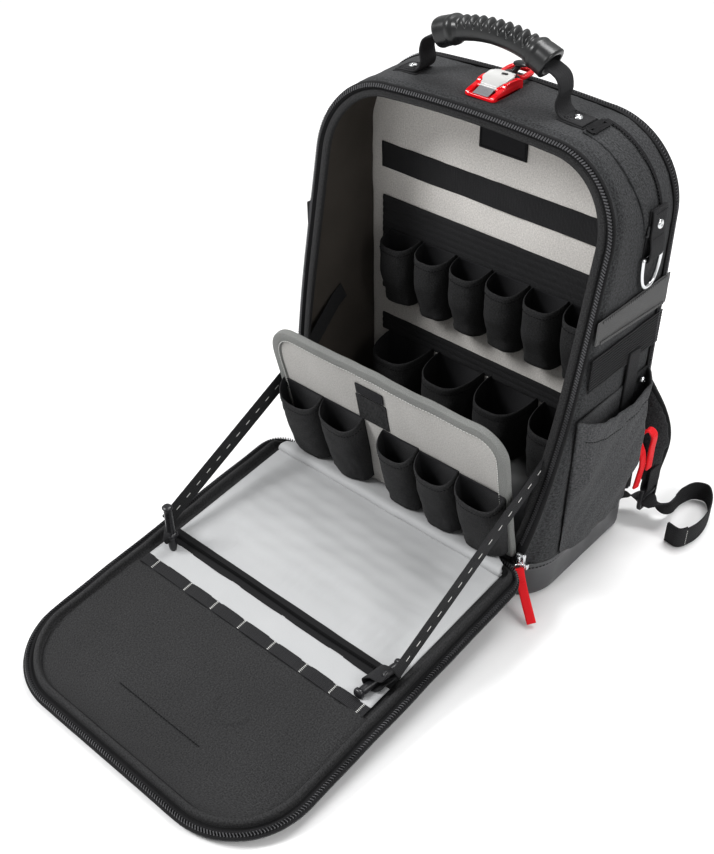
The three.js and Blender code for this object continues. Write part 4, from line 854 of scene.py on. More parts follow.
def make_board():
    """Felt board: its outline carried round a rounded edge, faces gently waving; a woven binding."""
    x = np.linspace(-1, 1, 120)[:, None]
    side = BOARD_HALF_W - 3
    t = np.linspace(0, 1, 80)[None]
    corner = BOARD_R - 3
    reach = np.clip(np.abs(x) * side - (side - corner), 0, corner)
    top = BOARD_H - 3 - corner + np.sqrt(np.maximum(corner ** 2 - reach ** 2, 0))
    z = t * top
    wave = board_wave(x * side + 0 * z, z)
    front = board_point(x * side, -0.2 + wave, z)
    back = board_point(x * side, 4.8 + wave, z)
    points = np.concatenate([front, back[:, ::-1]], axis=1)
    skin("felt_board", points, FELT, around=True, ends=True, replaces=("tool_board",), slot="grey_felt")
    loop = board_loop(5.5)
    path = board_point(loop[:, 0], 2.3 + board_wave(loop[:, 0], loop[:, 1]), loop[:, 1])
    inward = unit(np.gradient(path, axis=0))
    back = board_point(0, 1, 0) - board_point(0, 0, 0)
    across = np.cross(inward, back)
    sweep("woven_binding", path, across, 12.5, 8.2, FELT_BINDING, section=flat_section(24, 0.45),
          replaces=("board_binding",), slot="grey_felt")
    edge = board_loop(9.6)
    line = board_point(edge[:, 0], -1.9 + board_wave(edge[:, 0], edge[:, 1]), edge[:, 1])
    row_of_blocks("binding_stitches", line, across, 3.4, (2.4, 0.7, 0.6), THREAD_PALE, up=-back, lift=0.2)


def make_board_pockets():
    """Five black pockets along the foot of the board."""
    sizes = ((-113, 56, 90), (-57, 54, 90), (17, 46, 88), (65, 48, 86), (117, 54, 84))
    for i, (middle, width, height) in enumerate(sizes):
        def place(x, y, z, middle=middle):
            return board_point(x + middle, -y - 0.3, z + 7)
        make_pocket(f"front_pocket_{i + 1}", place, width, 22, height, 12, BLACK_CLOTH, seed=40 + i,
                    node=f"board_pocket_{i + 1}")


make_board()
make_board_pockets()


# back wall
def wall_sheet(name, half, z0, z1, out, material, rows=40, columns=80, thick=1.5, wave=0.5, seed=1,
               ribs=0.0, **rest):
    """Cloth on the back wall from one height to another, so far in front of the felt."""
    x = np.linspace(-1, 1, columns)[None]
    z = np.linspace(z0, z1, rows)[:, None]
    y = wall_y(z, out) + wave * crumple(x * half + 0 * z, z, 80, seed, 3)
    if ribs:
        y = y - 0.7 * np.abs(np.sin(math.pi * (z - z0) / ribs))
    points = np.stack(np.broadcast_arrays(x * half, y, z), axis=-1)
    return skin(name, points, material, inside=(0, 200, (z0 + z1) / 2), thick=thick, **rest)


def make_back_wall():
    """Felt wall with a rounded top, elastic band, ribbed backing, felt strip and ribbed webbing."""
    x = np.linspace(-1, 1, 110)[None]
    t = np.linspace(0, 1, 120)[:, None]
    half = HALF_W - 5.5
    r = CORNER_R - 5.5
    reach = np.clip(np.abs(x) * half - (half - r), 0, r)
    top = BODY_H - 5.5 - r + np.sqrt(r * r - reach * reach)
    z = 50 + (top - 50) * t
    y = wall_y(z) + 0.8 * crumple(x * half + 0 * z, z, 120, 51, 3)
    points = np.stack(np.broadcast_arrays(x * half, y, z), axis=-1)
    skin("felt_wall", points, WALL_FELT, inside=(0, 200, 240), thick=2.5, replaces=("lining_board",),
         slot="grey_felt")
    wall_sheet("elastic_band", 150, 330, 358, 1.2, WEBBING, seed=52, replaces=("wall_band",),
               slot="black_fabric")
    wall_sheet("ribbed_backing", 148, 184, 298, 1.4, WEBBING, seed=53, rows=200, ribs=7.6, wave=0.3,
               replaces=("pocket_backing",), slot="black_fabric")
    wall_sheet("ribbed_strip", 148, 128, 150, 1.4, WEBBING, seed=54, rows=60, ribs=7.4, wave=0.3)
    for i in range(6):
        def place(x, y, z, i=i):
            return np.stack(np.broadcast_arrays(x + (i - 2.5) * 46, 57.2 - y - 0.02 * z, z + 184), axis=-1)
        make_pocket(f"upper_pocket_{i + 1}", place, 43, 30, 78, 6, BLACK_CLOTH, seed=60 + i, taper=0.62,
                    node=f"wall_pocket_{i + 1}")
    for i in range(4):
        def place(x, y, z, i=i):
            return np.stack(np.broadcast_arrays(x + (i - 1.5) * 70, 62.0 - y - 0.02 * z, z + 62), axis=-1)
        make_pocket(f"lower_cup_{i + 1}", place, 62, 52, 70, 5, BLACK_CLOTH, seed=70 + i, taper=0.9,
                    node=f"wall_cup_{i + 1}")


make_back_wall()


# flat shapes with thickness
def plate(name, outline, place, low, high, material, bevel=0.8, rows=5, **rest):
    """A plate: its outline carried from face to face, drawn in along a quarter round at both."""
    outline = np.asarray(outline, float)
    centre = outline.mean(axis=0)
    size = np.abs(outline - centre).max(axis=0)
    a = np.linspace(0, math.pi / 2, rows)
    steps = [(low + bevel * (1 - math.cos(x)), bevel * (1 - math.sin(x))) for x in a]
    steps += [(high - bevel * (1 - math.cos(x)), bevel * (1 - math.sin(x))) for x in a[::-1]]
    loops = [place(*(centre + (outline - centre) * (1 - inset / size)).T, h) for h, inset in steps]
    return skin(name, np.array(loops), material, around=True, ends=True, **rest)


def rounded(corners, radius, steps=6):
    """A polygon with each corner eased by a quadratic curve."""
    corners = np.asarray(corners, float)
    before, after = np.roll(corners, 1, axis=0), np.roll(corners, -1, axis=0)
    back, ahead = before - corners, after - corners
    near = corners + unit(back) * np.minimum(radius, 0.45 * np.linalg.norm(back, axis=1))[:, None]
    far = corners + unit(ahead) * np.minimum(radius, 0.45 * np.linalg.norm(ahead, axis=1))[:, None]
    t = np.linspace(0, 1, steps)[None, :, None]
    curve = (1 - t) ** 2 * near[:, None] + 2 * t * (1 - t) * corners[:, None] + t ** 2 * far[:, None]
    return curve.reshape(-1, 2)


def rivet(name, centre, facing, radius=4.2, height=2.0, material=None):
    """A domed rivet head: a profile of rising rings about its axis."""
    facing = unit(np.asarray(facing, float))
    side = unit(np.cross(facing, [0.31, 0.95, 0.17]))
    other = np.cross(facing, side)
    t = np.linspace(0, 2 * math.pi, 28, endpoint=False)
    profile = np.array([(1.0, -0.4), (1.0, 0.15), (0.96, 0.45), (0.82, 0.78), (0.6, 0.95), (0.36, 1.0),
                        (0.3, 0.82), (0.1, 0.8)])
    rings = (np.asarray(centre, float) + radius * profile[:, None, :1] * (np.cos(t)[None, :, None] * side
             + np.sin(t)[None, :, None] * other) + height * profile[:, None, 1:] * facing)
    return skin(name, rings, material or STEEL, around=True, ends=True)


def box_stitch(name, centre, along, across, length, width, facing, material, pitch=2.6):
    """Stitches round a rectangle and along its diagonals."""
    c, a, b = (np.asarray(v, float) for v in (centre, along, across))
    a, b = unit(a) * length / 2, unit(b) * width / 2
    corners = [c - a - b, c + a - b, c + a + b, c - a + b]
    lines = [(corners[i], corners[(i + 1) % 4]) for i in range(4)]
    lines += [(corners[0], corners[2]), (corners[1], corners[3])]
    made = []
    for i, (p, q) in enumerate(lines):
        path = p + (q - p) * np.linspace(0.02, 0.98, 8)[:, None]
        made.append(row_of_blocks(f"{name}_{i}", path, np.cross(q - p, facing), pitch, (1.9, 0.6, 0.5),
                                  material, up=np.asarray(facing, float), lift=0.1))
    return join(name, made)


# carrying handle
def top_z(x):
    """Height of the bag's top at a place across."""
    side = np.abs(x)
    flat = BODY_H + CROWN * (1 - (side / FLAT_TOP) ** 2)
    round_part = BODY_H - CORNER_R + np.sqrt(np.maximum(CORNER_R ** 2 - (side - FLAT_TOP) ** 2, 0))
    return np.where(side <= FLAT_TOP, flat, round_part)


def grip_centre(t):
    """Point and tilt along the grip's shallow arc, t from 0 at the left end to 1."""
    rise = 13.5
    radius = (60 ** 2 + rise ** 2) / (2 * rise)
    a = (np.asarray(t, float) * 2 - 1) * math.asin(60 / radius)
    point = np.stack([HANDLE_X + radius * np.sin(a), HANDLE_Y + 0 * a, 509.5 - radius * (1 - np.cos(a))],
                     axis=-1)
    return point, a


def make_grip():
    """Moulded grip: rounded section along the arc, flared collars, a hollow of ribs on its upper side."""
    t = np.concatenate([[0.03, 0.005, 0.0, 0.0, 0.006], np.linspace(0.015, 0.985, 230),
                        [0.994, 1, 1, 0.995, 0.97]])
    edge = np.minimum(t, 1 - t)
    wide = np.interp(edge, [0, 0.01, 0.03, 0.11, 0.135, 0.15, 0.175, 0.21, 0.5],
                     [28, 29.5, 29, 27.6, 28.6, 28.2, 25.2, 23.6, 23])
    tall = np.interp(edge, [0, 0.01, 0.03, 0.11, 0.135, 0.15, 0.175, 0.21, 0.5],
                     [26, 28, 27.5, 26.5, 27.6, 27.0, 23.0, 20.6, 19.5])
    hollow = np.ones_like(t)
    hollow[:4] = [0.6, 0.66, 0.78, 0.94]
    hollow[-4:] = [0.94, 0.78, 0.66, 0.6]
    wide, tall = wide * hollow, tall * hollow
    angle = np.linspace(0, 2 * math.pi, 56, endpoint=False)[None]
    cos, sin = np.cos(angle), np.sin(angle)
    y = wide[:, None] / 2 * np.sign(cos) * np.abs(cos) ** 0.8
    up = tall[:, None] / 2 * np.sign(sin) * np.abs(sin) ** 0.8
    zone = ease((t - 0.2) / 0.03) * ease((0.83 - t) / 0.03)
    rib = np.abs(np.sin(math.pi * (t[:, None] - 0.2 + 0.024 * cos) / 0.07)) ** 0.9
    over = ease((sin - 0.2) / 0.3)
    up = up + over * zone[:, None] * (1.6 - 4.6 * (1 - rib))
    point, a = grip_centre(t)
    raised = np.stack([np.sin(a), 0 * a, np.cos(a)], axis=-1)
    points = point[:, None] + y[..., None] * np.array([0, 1.0, 0]) + up[..., None] * raised[:, None]
    skin("ribbed_grip", points, GRIP, around=True, ends=True, replaces=("handle_grip",),
         slot="grip_plastic")


def make_handle_strap(side, word):
    """Webbing from its stitched foot on the top, up in a bend into the grip's collar."""
    lift = 1.6
    outs = np.array([104, 97, 90])
    x = HANDLE_X + side * outs
    foot = np.column_stack([x, np.full(3, HANDLE_Y), top_z(x) + lift])
    end, _ = grip_centre(1.0 if side > 0 else 0.0)
    base = float(top_z(80.0)) + lift
    rise = end[2] - base
    places = ((82, base + 0.8), (76.5, base + 5), (74.5, base + 0.3 * rise), (76.5, base + 0.55 * rise),
              (73, base + 0.82 * rise), (62, base + 0.97 * rise))
    bend = np.array([[HANDLE_X + side * out, HANDLE_Y, z] for out, z in places])
    inner = end - [side * 7, 0, -0.6]
    path = smooth_path(np.vstack([foot, bend, inner]), 90)
    strap = sweep(f"handle_webbing_{word}", path, [0, 1, 0], 24.5 - 2.2 * bump_line(path[:, 2] - 480, 14),
                  2.3, WEBBING)
    under = np.column_stack([HANDLE_X + side * np.linspace(106, 78, 12), np.full(12, HANDLE_Y),
                             np.zeros(12)])
    under[:, 2] = top_z(under[:, 0]) + 0.6
    tongue = sweep(f"handle_tongue_{word}", under, [0, 1, 0], 27, 1.4, WEBBING)
    middle = np.array([HANDLE_X + side * 92, HANDLE_Y, float(top_z(92.0)) + 2.9])
    head = rivet(f"handle_rivet_{word}", middle, [side * 0.12, 0, 1])
    stitch = box_stitch(f"handle_stitch_{word}", middle + [0, 0, -0.2], [1, 0, -0.14 * side], [0, 1, 0],
                        20, 19, [0, 0, 1], THREAD_BLACK)
    join(f"handle_webbing_{word}", [strap, tongue, head, stitch], replaces=(f"handle_strap_{word}",))


make_grip()
make_handle_strap(-1, "left")
make_handle_strap(1, "right")


# latch on the top
def latch_place(x, y, z):
    """Row frame point from the latch's own across, back and up."""
    return np.stack(np.broadcast_arrays(x, y + 7.0, z + 457.3), axis=-1)


def make_latch():
    """Red frame with stepped rails, ribbed grey ramp, pale cover with a slot, black knob, red loop."""
    bed = rounded([(-15, 0.6), (15, 0.6), (16, 4), (16, 44), (14, 46), (-14, 46), (-16, 44), (-16, 4)], 2.5)
    floor = plate("latch_bed", bed, lambda x, y, h: latch_place(x, y, h), 0, 3.4, LATCH_RED)
    rails = []
    for side in (-1, 1):
        step = rounded([(0.4, 0.2), (45.6, 0.2), (45.6, 8.6), (41, 11.2), (26, 12.2), (19, 11.2),
                        (17.2, 8.4), (8, 6.4), (1, 4.4)], 2.0)
        a, b = sorted((side * 11.4, side * 16))
        rails.append(plate(f"latch_rail_{side}", step, lambda y, z, h: latch_place(h, y, z), a, b,
                           LATCH_RED))
        lug = rounded([(12.5, 4), (19.5, 5), (19.5, 9.8), (15, 9.2), (12.5, 7.6)], 1.2)
        a, b = sorted((side * 8.6, side * 11.8))
        rails.append(plate(f"latch_lug_{side}", lug, lambda y, z, h: latch_place(h, y, z), a, b, LATCH_RED))
    join("latch_base", [floor, *rails], replaces=("latch_frame",))
    x = np.linspace(-1, 1, 64)[None]
    y = np.linspace(1.4, 15.5, 24)[:, None]
    ribs = 0.45 * np.abs(np.sin(x * 8.2 * math.pi / 1.9)) * ease((y - 2) / 2)
    ramp = 3.9 + 3.6 * ease((y - 1) / 15) + ribs
    grey = skin("latch_ramp", latch_place(x * 8.4, y, ramp), LATCH_GREY, inside=(0, 10, 400), thick=2.2)
    outline = rounded([(-9.4, 14.2), (9.4, 14.2), (10.6, 19), (13.2, 22), (13.6, 35), (10.5, 38), (9.6, 43),
                       (-9.6, 43), (-10.5, 38), (-13.6, 35), (-13.2, 22), (-10.6, 19)], 1.6)

    def cover_place(x, y, h):
        crown = 7.4 + 5.2 * ease((y - 13) / 16) - 1.6 * ease((y - 36) / 9) + h - 0.004 * x * x
        return latch_place(x, y, crown)
    cover = plate("latch_cover", outline, cover_place, 0, 2.4, LATCH_WHITE, bevel=0.7)
    slot_mark = plate("latch_slot", rounded([(0.5, 31.5), (6.4, 33.4), (6.0, 35.6), (0.5, 34.2)], 1.0),
                      cover_place, 1.9, 2.62, BLACK_PLASTIC, bevel=0.15)
    lip = plate("latch_lip", rounded([(-9.6, 12.8), (9.6, 12.8), (9.6, 15.4), (-9.6, 15.4)], 0.8),
                cover_place, -1.5, 1.2, LATCH_WHITE, bevel=0.5)
    hinge = rod("latch_hinge", latch_place(-10.5, 46.4, 8.2), latch_place(10.5, 46.4, 8.2), 2.6,
                BLACK_PLASTIC)
    stalk = rod("latch_stalk", latch_place(0.5, 47.5, 9.5), latch_place(5.5, 53.5, 17.6), 2.7,
                BLACK_PLASTIC)
    disc = pebble("latch_knob", latch_place(6.4, 54.6, 18.8), (8.0, 6.4, 2.0), BLACK_PLASTIC, power=0.9)
    hook = pebble("latch_hook", latch_place(-1.0, 49.0, 8.6), (6.5, 4.2, 3.2), BLACK_PLASTIC)
    join("latch_top", [cover, slot_mark, lip, grey, hinge, stalk, disc, hook], replaces=("latch_plate",))
    loop = rounded([(-11.6, 48.8), (11.6, 48.8), (11.6, 68.0), (-11.6, 68.0)], 5.0, 10)
    path = latch_place(loop[:, 0], loop[:, 1], 7.9 + 0.06 * (loop[:, 1] - 48))
    sweep("red_loop", evenly_round(path, 96), [0, 0, 1], 4.4, 4.8, LATCH_RED,
          closed=True, section=flat_section(16, 0.6), replaces=("latch_loop",), slot="red_plastic")


make_latch()


# ring, its strap and the shoulder band
def over_shoulder(count, start, end_z, lift):
    """Path from a place on the top round the right shoulder and down the side, and its outward side."""
    a0 = math.acos(np.clip((start - FLAT_TOP) / (CORNER_R + lift), -1, 1))
    a = np.linspace(a0, 0, 60)
    radius = CORNER_R + lift
    arc = np.stack([FLAT_TOP + radius * np.cos(a), BODY_H - CORNER_R + radius * np.sin(a)], axis=1)
    line = evenly(np.vstack([arc, [[HALF_W + lift, end_z]]]), count)
    along = unit(np.gradient(line, axis=0))
    return line, np.stack([-along[:, 1], along[:, 0]], axis=1)


def shoulder_band(name, start, end_z, y_low, y_high, lift, material, count=90, thick=1.4, **rest):
    """Cloth laid over the right shoulder; its two edges are given as depths along its length."""
    line, out = over_shoulder(count, start, end_z, lift)
    share = np.linspace(0, 1, count)
    low = np.interp(share, *zip(*y_low))
    high = np.interp(share, *zip(*y_high))
    s = np.linspace(0, 1, 24)[None]
    y = low[:, None] + (high - low)[:, None] * s
    soft = 0.35 * crumple(share[:, None] * 150, y, 40, 81, 2) - 0.9 * (np.abs(s * 2 - 1) ** 6)
    points = np.stack([line[:, None, 0] + out[:, None, 0] * soft, y,
                       line[:, None, 1] + out[:, None, 1] * soft], axis=-1)
    return skin(name, points, material, inside=(FLAT_TOP, 40, 300), thick=thick, **rest)


def make_ring_side():
    """Wide band over the shoulder, the ring's narrow strap with rivet and stitches, and the ring."""
    band = shoulder_band("shoulder_band", 104, 384, [(0, 15), (0.5, 16), (1, 26)],
                         [(0, 46), (0.6, 50), (1, 54)], 2.6, CHARCOAL)
    line = over_shoulder(60, 107, 391, 3.2)[0]
    at = np.column_stack([line[:, 0], np.full(60, 30.0), line[:, 1]])
    tack = box_stitch("band_tack", [109.5, 31, float(top_z(109.5)) + 3.4], [1, 0, -0.25], [0, 1, 0], 7, 26,
                      [0.2, 0, 1], THREAD_BLACK, pitch=2.2)
    edge = row_of_blocks("band_edge_stitches", at + [0, 18, 0], [0, 1, 0], 3.2, (2.2, 0.6, 0.5),
                         THREAD_BLACK, away=np.array([60.0, 48, 300]))
    join("shoulder_band", [band, tack, edge])
    bend = 3.4
    turn = np.linspace(math.pi, 2 * math.pi, 14)
    loop = np.column_stack([RING_X + bend * np.cos(turn), np.full(14, 40.0),
                            RING_BAR_Z + bend * np.sin(turn)])
    down = np.array([[HALF_W + 3.0, 40, 398], [HALF_W + 2.4, 40, 380], [HALF_W + 1.5, 40, 364]])
    back = np.array([[HALF_W + 8.0, 40, 362], [HALF_W + 6.2, 40, 374], [HALF_W + 5.6, 40, 390],
                     [HALF_W + 4.6, 40, 398.5]])
    path = smooth_path(np.vstack([down, loop, back]), 80)
    strap = sweep("ring_webbing", path, [0, 1, 0], 24, 1.7, WEBBING)
    head = rivet("ring_rivet", [HALF_W + 6.9, 40, 383], [1, 0, 0.1], radius=4.6)
    tacks = []
    for i, z in enumerate((368.5, 371, 395.5)):
        line = np.array([[HALF_W + 7.4, 30.5, z], [HALF_W + 7.4, 49.5, z]])
        tacks.append(row_of_blocks(f"ring_tack_{i}", line, [0, 0, 1], 2.4, (1.7, 0.6, 0.6), THREAD_BLACK,
                                   up=[1, 0, 0]))
    join("ring_webbing", [strap, head, *tacks], replaces=("ring_strap",))
    a = np.linspace(math.pi, 2 * math.pi, 60)
    bow = np.stack([0 * a, 15.6 * np.sign(np.cos(a)) * np.abs(np.cos(a)) ** 0.75, 32 * np.sin(a)], axis=1)
    bar = np.stack([np.zeros(14), np.linspace(15.6, -15.6, 16)[1:-1], np.zeros(14)], axis=1)
    path = np.vstack([bow, bar]) + [RING_X, 40.0, RING_BAR_Z]
    path = evenly_round(path, 120)
    sweep("steel_ring", path, [1, 0, 0], 4, 4, STEEL, section=round_section(14), closed=True,
          body="ring", replaces=("d_ring",), slot="steel")


make_ring_side()


# side bands, ribs and side pockets
def side_sheet(name, side, y0, y1, z_low, z_high, lift, material, rows=24, columns=90, thick=1.2,
               wave=0.4, seed=1, **rest):
    """Cloth on the bag's side between two depths; its lower and upper edge may slope."""
    y = np.linspace(y0, y1, columns)[None]
    t = np.linspace(0, 1, rows)[:, None]
    low = z_low[0] + (z_low[1] - z_low[0]) * (y - y0) / (y1 - y0)
    high = z_high[0] + (z_high[1] - z_high[0]) * (y - y0) / (y1 - y0)
    z = low + (high - low) * t
    out = HALF_W + lift + wave * crumple(y + 0 * z, z, 60, seed, 3)
    points = np.stack(np.broadcast_arrays(side * out, y, z), axis=-1)
    return skin(name, points, material, inside=(0, 0, z_low[0]), thick=thick, **rest)


def make_side(side, word):
    """Grey band, rows of ribs, upright strap with its eyelet, gathered pocket with a sagging mouth."""
    band = side_sheet(f"side_grey_band_{word}", side, -36, 87, (291, 281), (315, 313), 3.4, GREY_WEBBING,
                      seed=91)
    lines = []
    for i, (z0, z1) in enumerate(((292.6, 282.8), (313.4, 311.4))):
        path = np.array([[side * (HALF_W + 3.7), y, z0 + (z1 - z0) * (y + 33) / 117]
                         for y in np.linspace(-30, 82, 30)])
        lines.append(row_of_blocks(f"band_line_{word}_{i}", path, [0, 0, 1], 3.4, (2.1, 0.6, 0.5),
                                   GREY_WEBBING, away=np.array([0.0, 30, 290]), lift=0.2))
    join(f"side_grey_band_{word}", [band, *lines], replaces=(f"side_band_{word}",))
    rows = []
    for i in range(12):
        y = np.linspace(-36, 86, 60)
        z = 274.5 - 3.1 * i - (y + 36) / 122 * 2.5
        path = np.column_stack([side * (HALF_W + 2.6 + 0.25 * crumple(y, 0 * y, 50, 5, 2)), y, z])
        rows.append(sweep(f"side_rib_{word}_{i}", path, [0, 0, 1], 2.5, 1.3, WEBBING,
                          section=flat_section(8, 0.7)))
    join(f"side_ribs_{word}", rows)
    strap = side_sheet(f"side_upright_{word}", side, 31, 51, (150, 150), (250, 248), 4.8, WEBBING,
                       columns=12, thick=1.6, seed=92)
    eye = rivet(f"side_eyelet_{word}", [side * (HALF_W + 6.2), 62, 205], [side, 0, 0.15], radius=3.6,
                height=3.0)
    join(f"side_upright_{word}", [strap, eye])
    s = np.linspace(0, 1, 64)[None]
    height = np.concatenate([np.linspace(0, 0.985, 44), [1.0, 1.004, 0.995],
                             np.linspace(0.97, 0.03, 14)])[:, None]
    wall = np.concatenate([np.zeros(45), [0.8], np.full(15, 1.8)])[:, None]
    front = np.interp(height, [0, 0.25, 0.6, 1], [3, 6, 8, 8])
    rear = np.interp(height, [0, 0.25, 0.6, 1], [6, 13, 18, 18])
    shoulder = np.minimum(1, np.sin(math.pi * np.clip(s, 0, 1)) * 2.6) ** 0.55
    y = SIDE_Y0 + (SIDE_Y1 - SIDE_Y0) * s
    reach = (front + (rear - front) * s) * shoulder
    sag = 16 * np.sin(math.pi * s) * ease((height - 0.45) / 0.55)
    z = TRAY_H + 1 + 165 * height - sag
    drape = 3.0 * crumple(y * 0.9 - z * 0.55, z * 0.35 + y * 0.5, 88, 93, 3)
    gather = 1.2 * crumple(y, z * 0.25, 22, 94, 2) * (bump_line(height - 1, 0.2) + bump_line(height, 0.15))
    hem = 0.8 * ease((height - 0.885) / 0.01) * (wall == 0)
    dent = -1.0 * bump_line(height - 0.88, 0.012)
    out = HALF_W + 2.2 + np.maximum(reach + (drape + gather + hem + dent) * shoulder - wall,
                                    0.1 - 0.4 * (wall > 0))
    points = np.stack(np.broadcast_arrays(side * out, y, z), axis=-1)
    # The pouch's outside takes the lightened charcoal cloth, whose extra brightness is painted sheen.
    bands = ((0, PAINTED_SHEEN_POUCH_CLOTH), (47, INNER_CLOTH))
    pocket = skin(f"side_pouch_{word}", points, PAINTED_SHEEN_POUCH_CLOTH, inside=(side * (HALF_W + 4), 15, 130),
                  around=True, ends=True, row_bands=bands)
    line = points[38, 4:60]
    stitches = row_of_blocks(f"side_pouch_hem_{word}", line + [side * 0.3, 0, 0], [0, 0, 1], 3.4,
                             (2.4, 0.7, 0.6), THREAD_BLACK, away=np.array([side * 100.0, 15, 180]))
    join(f"side_pouch_{word}", [pocket, stitches], replaces=(f"side_pocket_{word}",))


make_side(1, "right")
make_side(-1, "left")


# flap straps and toggles
def make_flap_strap(side, word):
    """Woven strap with pale dashes from its toggle on the flap, past the frame, to the inner wall."""
    low = flap_point(side * 153, 182, 15)
    cross = np.array([side * 151.3, front_y(158), 158.0])
    path = np.vstack([low, low + (cross - low) * 0.5, cross + (low - cross) * 0.04, cross + [0, 7, 3],
                      [side * 161.0, -8, 190], [side * 161.4, 6, 197]])
    path = evenly(path, 160)
    strap = sweep(f"woven_strap_{word}", path, [0, -0.47, 0.88], 22, 1.5, WEBBING)
    step = np.r_[0, np.cumsum(np.linalg.norm(np.diff(path, axis=0), axis=1))]
    at = np.arange(18, step[-1] - 80, 16.5)
    where = np.stack([np.interp(at, step, path[:, i]) for i in range(3)], axis=1)
    along = np.broadcast_to(unit(cross - low), where.shape)
    normal = unit(np.cross(along, [0, -0.47, 0.88]))
    over = unit(np.cross(normal, along))
    dashes = []
    for face in (-1, 1):
        spot = where + normal * face * 0.75
        dashes.append(repeat(f"strap_dash_{word}_{face}", tapered_block(7.5, 1.6, 0.5), BLOCK_FACES, spot,
                             (along, over, normal), THREAD_PALE))
    join(f"woven_strap_{word}", [strap, *dashes], replaces=(f"flap_strap_{word}",))


def make_toggles():
    """Left toggle standing in a black loop; right toggle lying in a rolled strap end with a rivet."""
    a, b = flap_point(-133, 195, -3.4), flap_point(-133, 190, 54)
    bar = rod("toggle_bar_left", a, b, 4.4, BLACK_PLASTIC, sides=20, rows=24)
    cap = pebble("toggle_cap_left", b, (5.2, 5.2, 2.6), BLACK_PLASTIC, power=0.8)
    collar = pebble("toggle_collar_left", a + (b - a) * 0.36, (6.2, 6.2, 3.6), BLACK_PLASTIC, power=0.7)
    end = flap_point(-153, 182, 15)
    through = np.vstack([end + [2, 0, 6], a + (b - a) * 0.5 + [-5, 0, 0], a + (b - a) * 0.34 + [1, -6, 0],
                         a + (b - a) * 0.24 + [-4, 0, -2], end + [1, 0, -7]])
    ring = evenly(smooth_path(through, 60), 60)
    tie = sweep("toggle_tie_left", ring, [0.2, 0.5, 0.84], 9, 2.0, WEBBING)
    join("toggle_left_bar", [bar, cap, collar, tie], replaces=("toggle_left",))
    a, b = flap_point(133, 210.5, 1), flap_point(141.5, 164, 1.5)
    bar = rod("toggle_bar_right", a, b, 4.3, BLACK_PLASTIC, sides=20, rows=24)
    ends = [pebble(f"toggle_end_right_{i}", p, (5.4, 3.4, 5.2), BLACK_PLASTIC, power=0.8)
            for i, p in enumerate((a, b))]
    end = flap_point(153, 182, 15)
    middle = (a + b) / 2
    loop = smooth_path(np.vstack([end + [0, -1, 6], middle + [10, -1, 13], middle + [-2, -2, 9.5],
                                  middle + [-8, -3, 2], middle + [-3, -3, -3.6], middle + [7, -1, -1.5],
                                  end + [-1, 0, -6]]), 70)
    tie = sweep("toggle_tie_right", loop, unit(b - a), 20, 1.8, WEBBING)
    head = rivet("toggle_rivet", middle + [8.6, -1, 12.6], [0.3, -0.1, 1], radius=3.6,
                 material=BLACK_PLASTIC)
    join("toggle_right_bar", [bar, *ends, tie, head], replaces=("toggle_right",))


for direction, word in ((-1, "left"), (1, "right")):
    make_flap_strap(direction, word)
make_toggles()


# slider and cloth pulls
def cloth_pull(name, points, node, across):
    """A folded tape pull: rounded flat section along its hang, steel link and sewn line at its top."""
    path = smooth_path(points, 60)
    across = np.asarray(across, float)
    tape = sweep(name, path, across, 9.4, 3.0, PULL_RED, section=flat_section(18, 0.45))
    folds = [row_of_blocks(f"{name}_stitch_{i}", path[k:k + 2], across, 1.0, (0.8, 7.4, 3.5), PULL_RED,
                           top=0.9) for i, k in enumerate((14, 17))]
    top = path[0]
    link = evenly(rounded([(-5, -2), (5, -2), (5, 6), (-5, 6)], 3.5, 8), 40)
    ring = top + link[:, :1] * across + link[:, 1:] * np.array([0.1, -0.1, 1.0])
    wire = sweep(name + "_link", ring, [0.67, -0.74, 0.1], 1.6, 1.6, STEEL, closed=True,
                 section=round_section(10))
    return join(name, [tape, *folds, wire], replaces=(node,))


def make_pulls():
    """Zip slider at the hinge corner with its end box, and the three red pulls."""
    main = np.array([[-12.2, 0.1, -4.5], [-10, -0.5, -12], [-3, -4, -24], [16, -12, -53]])
    upper = np.array([[6.5, -9, 14], [12, -6, 21], [16.5, -2.5, 16], [16, 0, -6], [15, 3, -33]])
    lower = np.array([[6.3, -12, 5], [11, -9.5, -8], [12.5, -7.5, -22], [12, -9, -38], [11, -10.5, -53]])
    rear = [HALF_W, BODY_D / 2, REAR_ZIP_FOOT]
    cloth_pull("front_pull", main + [HALF_W, front_y(0), HINGE_Z], "main_pull", [0.74, 0.67, 0])
    cloth_pull("upper_rear_pull", upper + rear, "rear_pull_upper", [0.1, 1, 0])
    cloth_pull("lower_rear_pull", lower + rear, "rear_pull_lower", [0.1, 1, 0])
    at = np.array([HALF_W - 15.5, front_y(59.9) - 4.4, 59.9])
    body = pebble("slider_body", at, (5.0, 2.9, 6.8), STEEL, power=0.45)
    bridge = pebble("slider_bridge", at + [0, -3.4, 0.6], (1.7, 2.2, 4.6), STEEL, power=0.6)
    stop = pebble("slider_box", at + [4.6, 0.8, -7.6], (4.2, 2.6, 3.2), STEEL, power=0.4)
    neck = rod("slider_neck", at + [2.2, -3.2, -1.5], at + [3.4, -3.8, -9.5], 1.3, STEEL)
    join("slider", [body, bridge, stop, neck], replaces=("zip_slider",))


make_pulls()


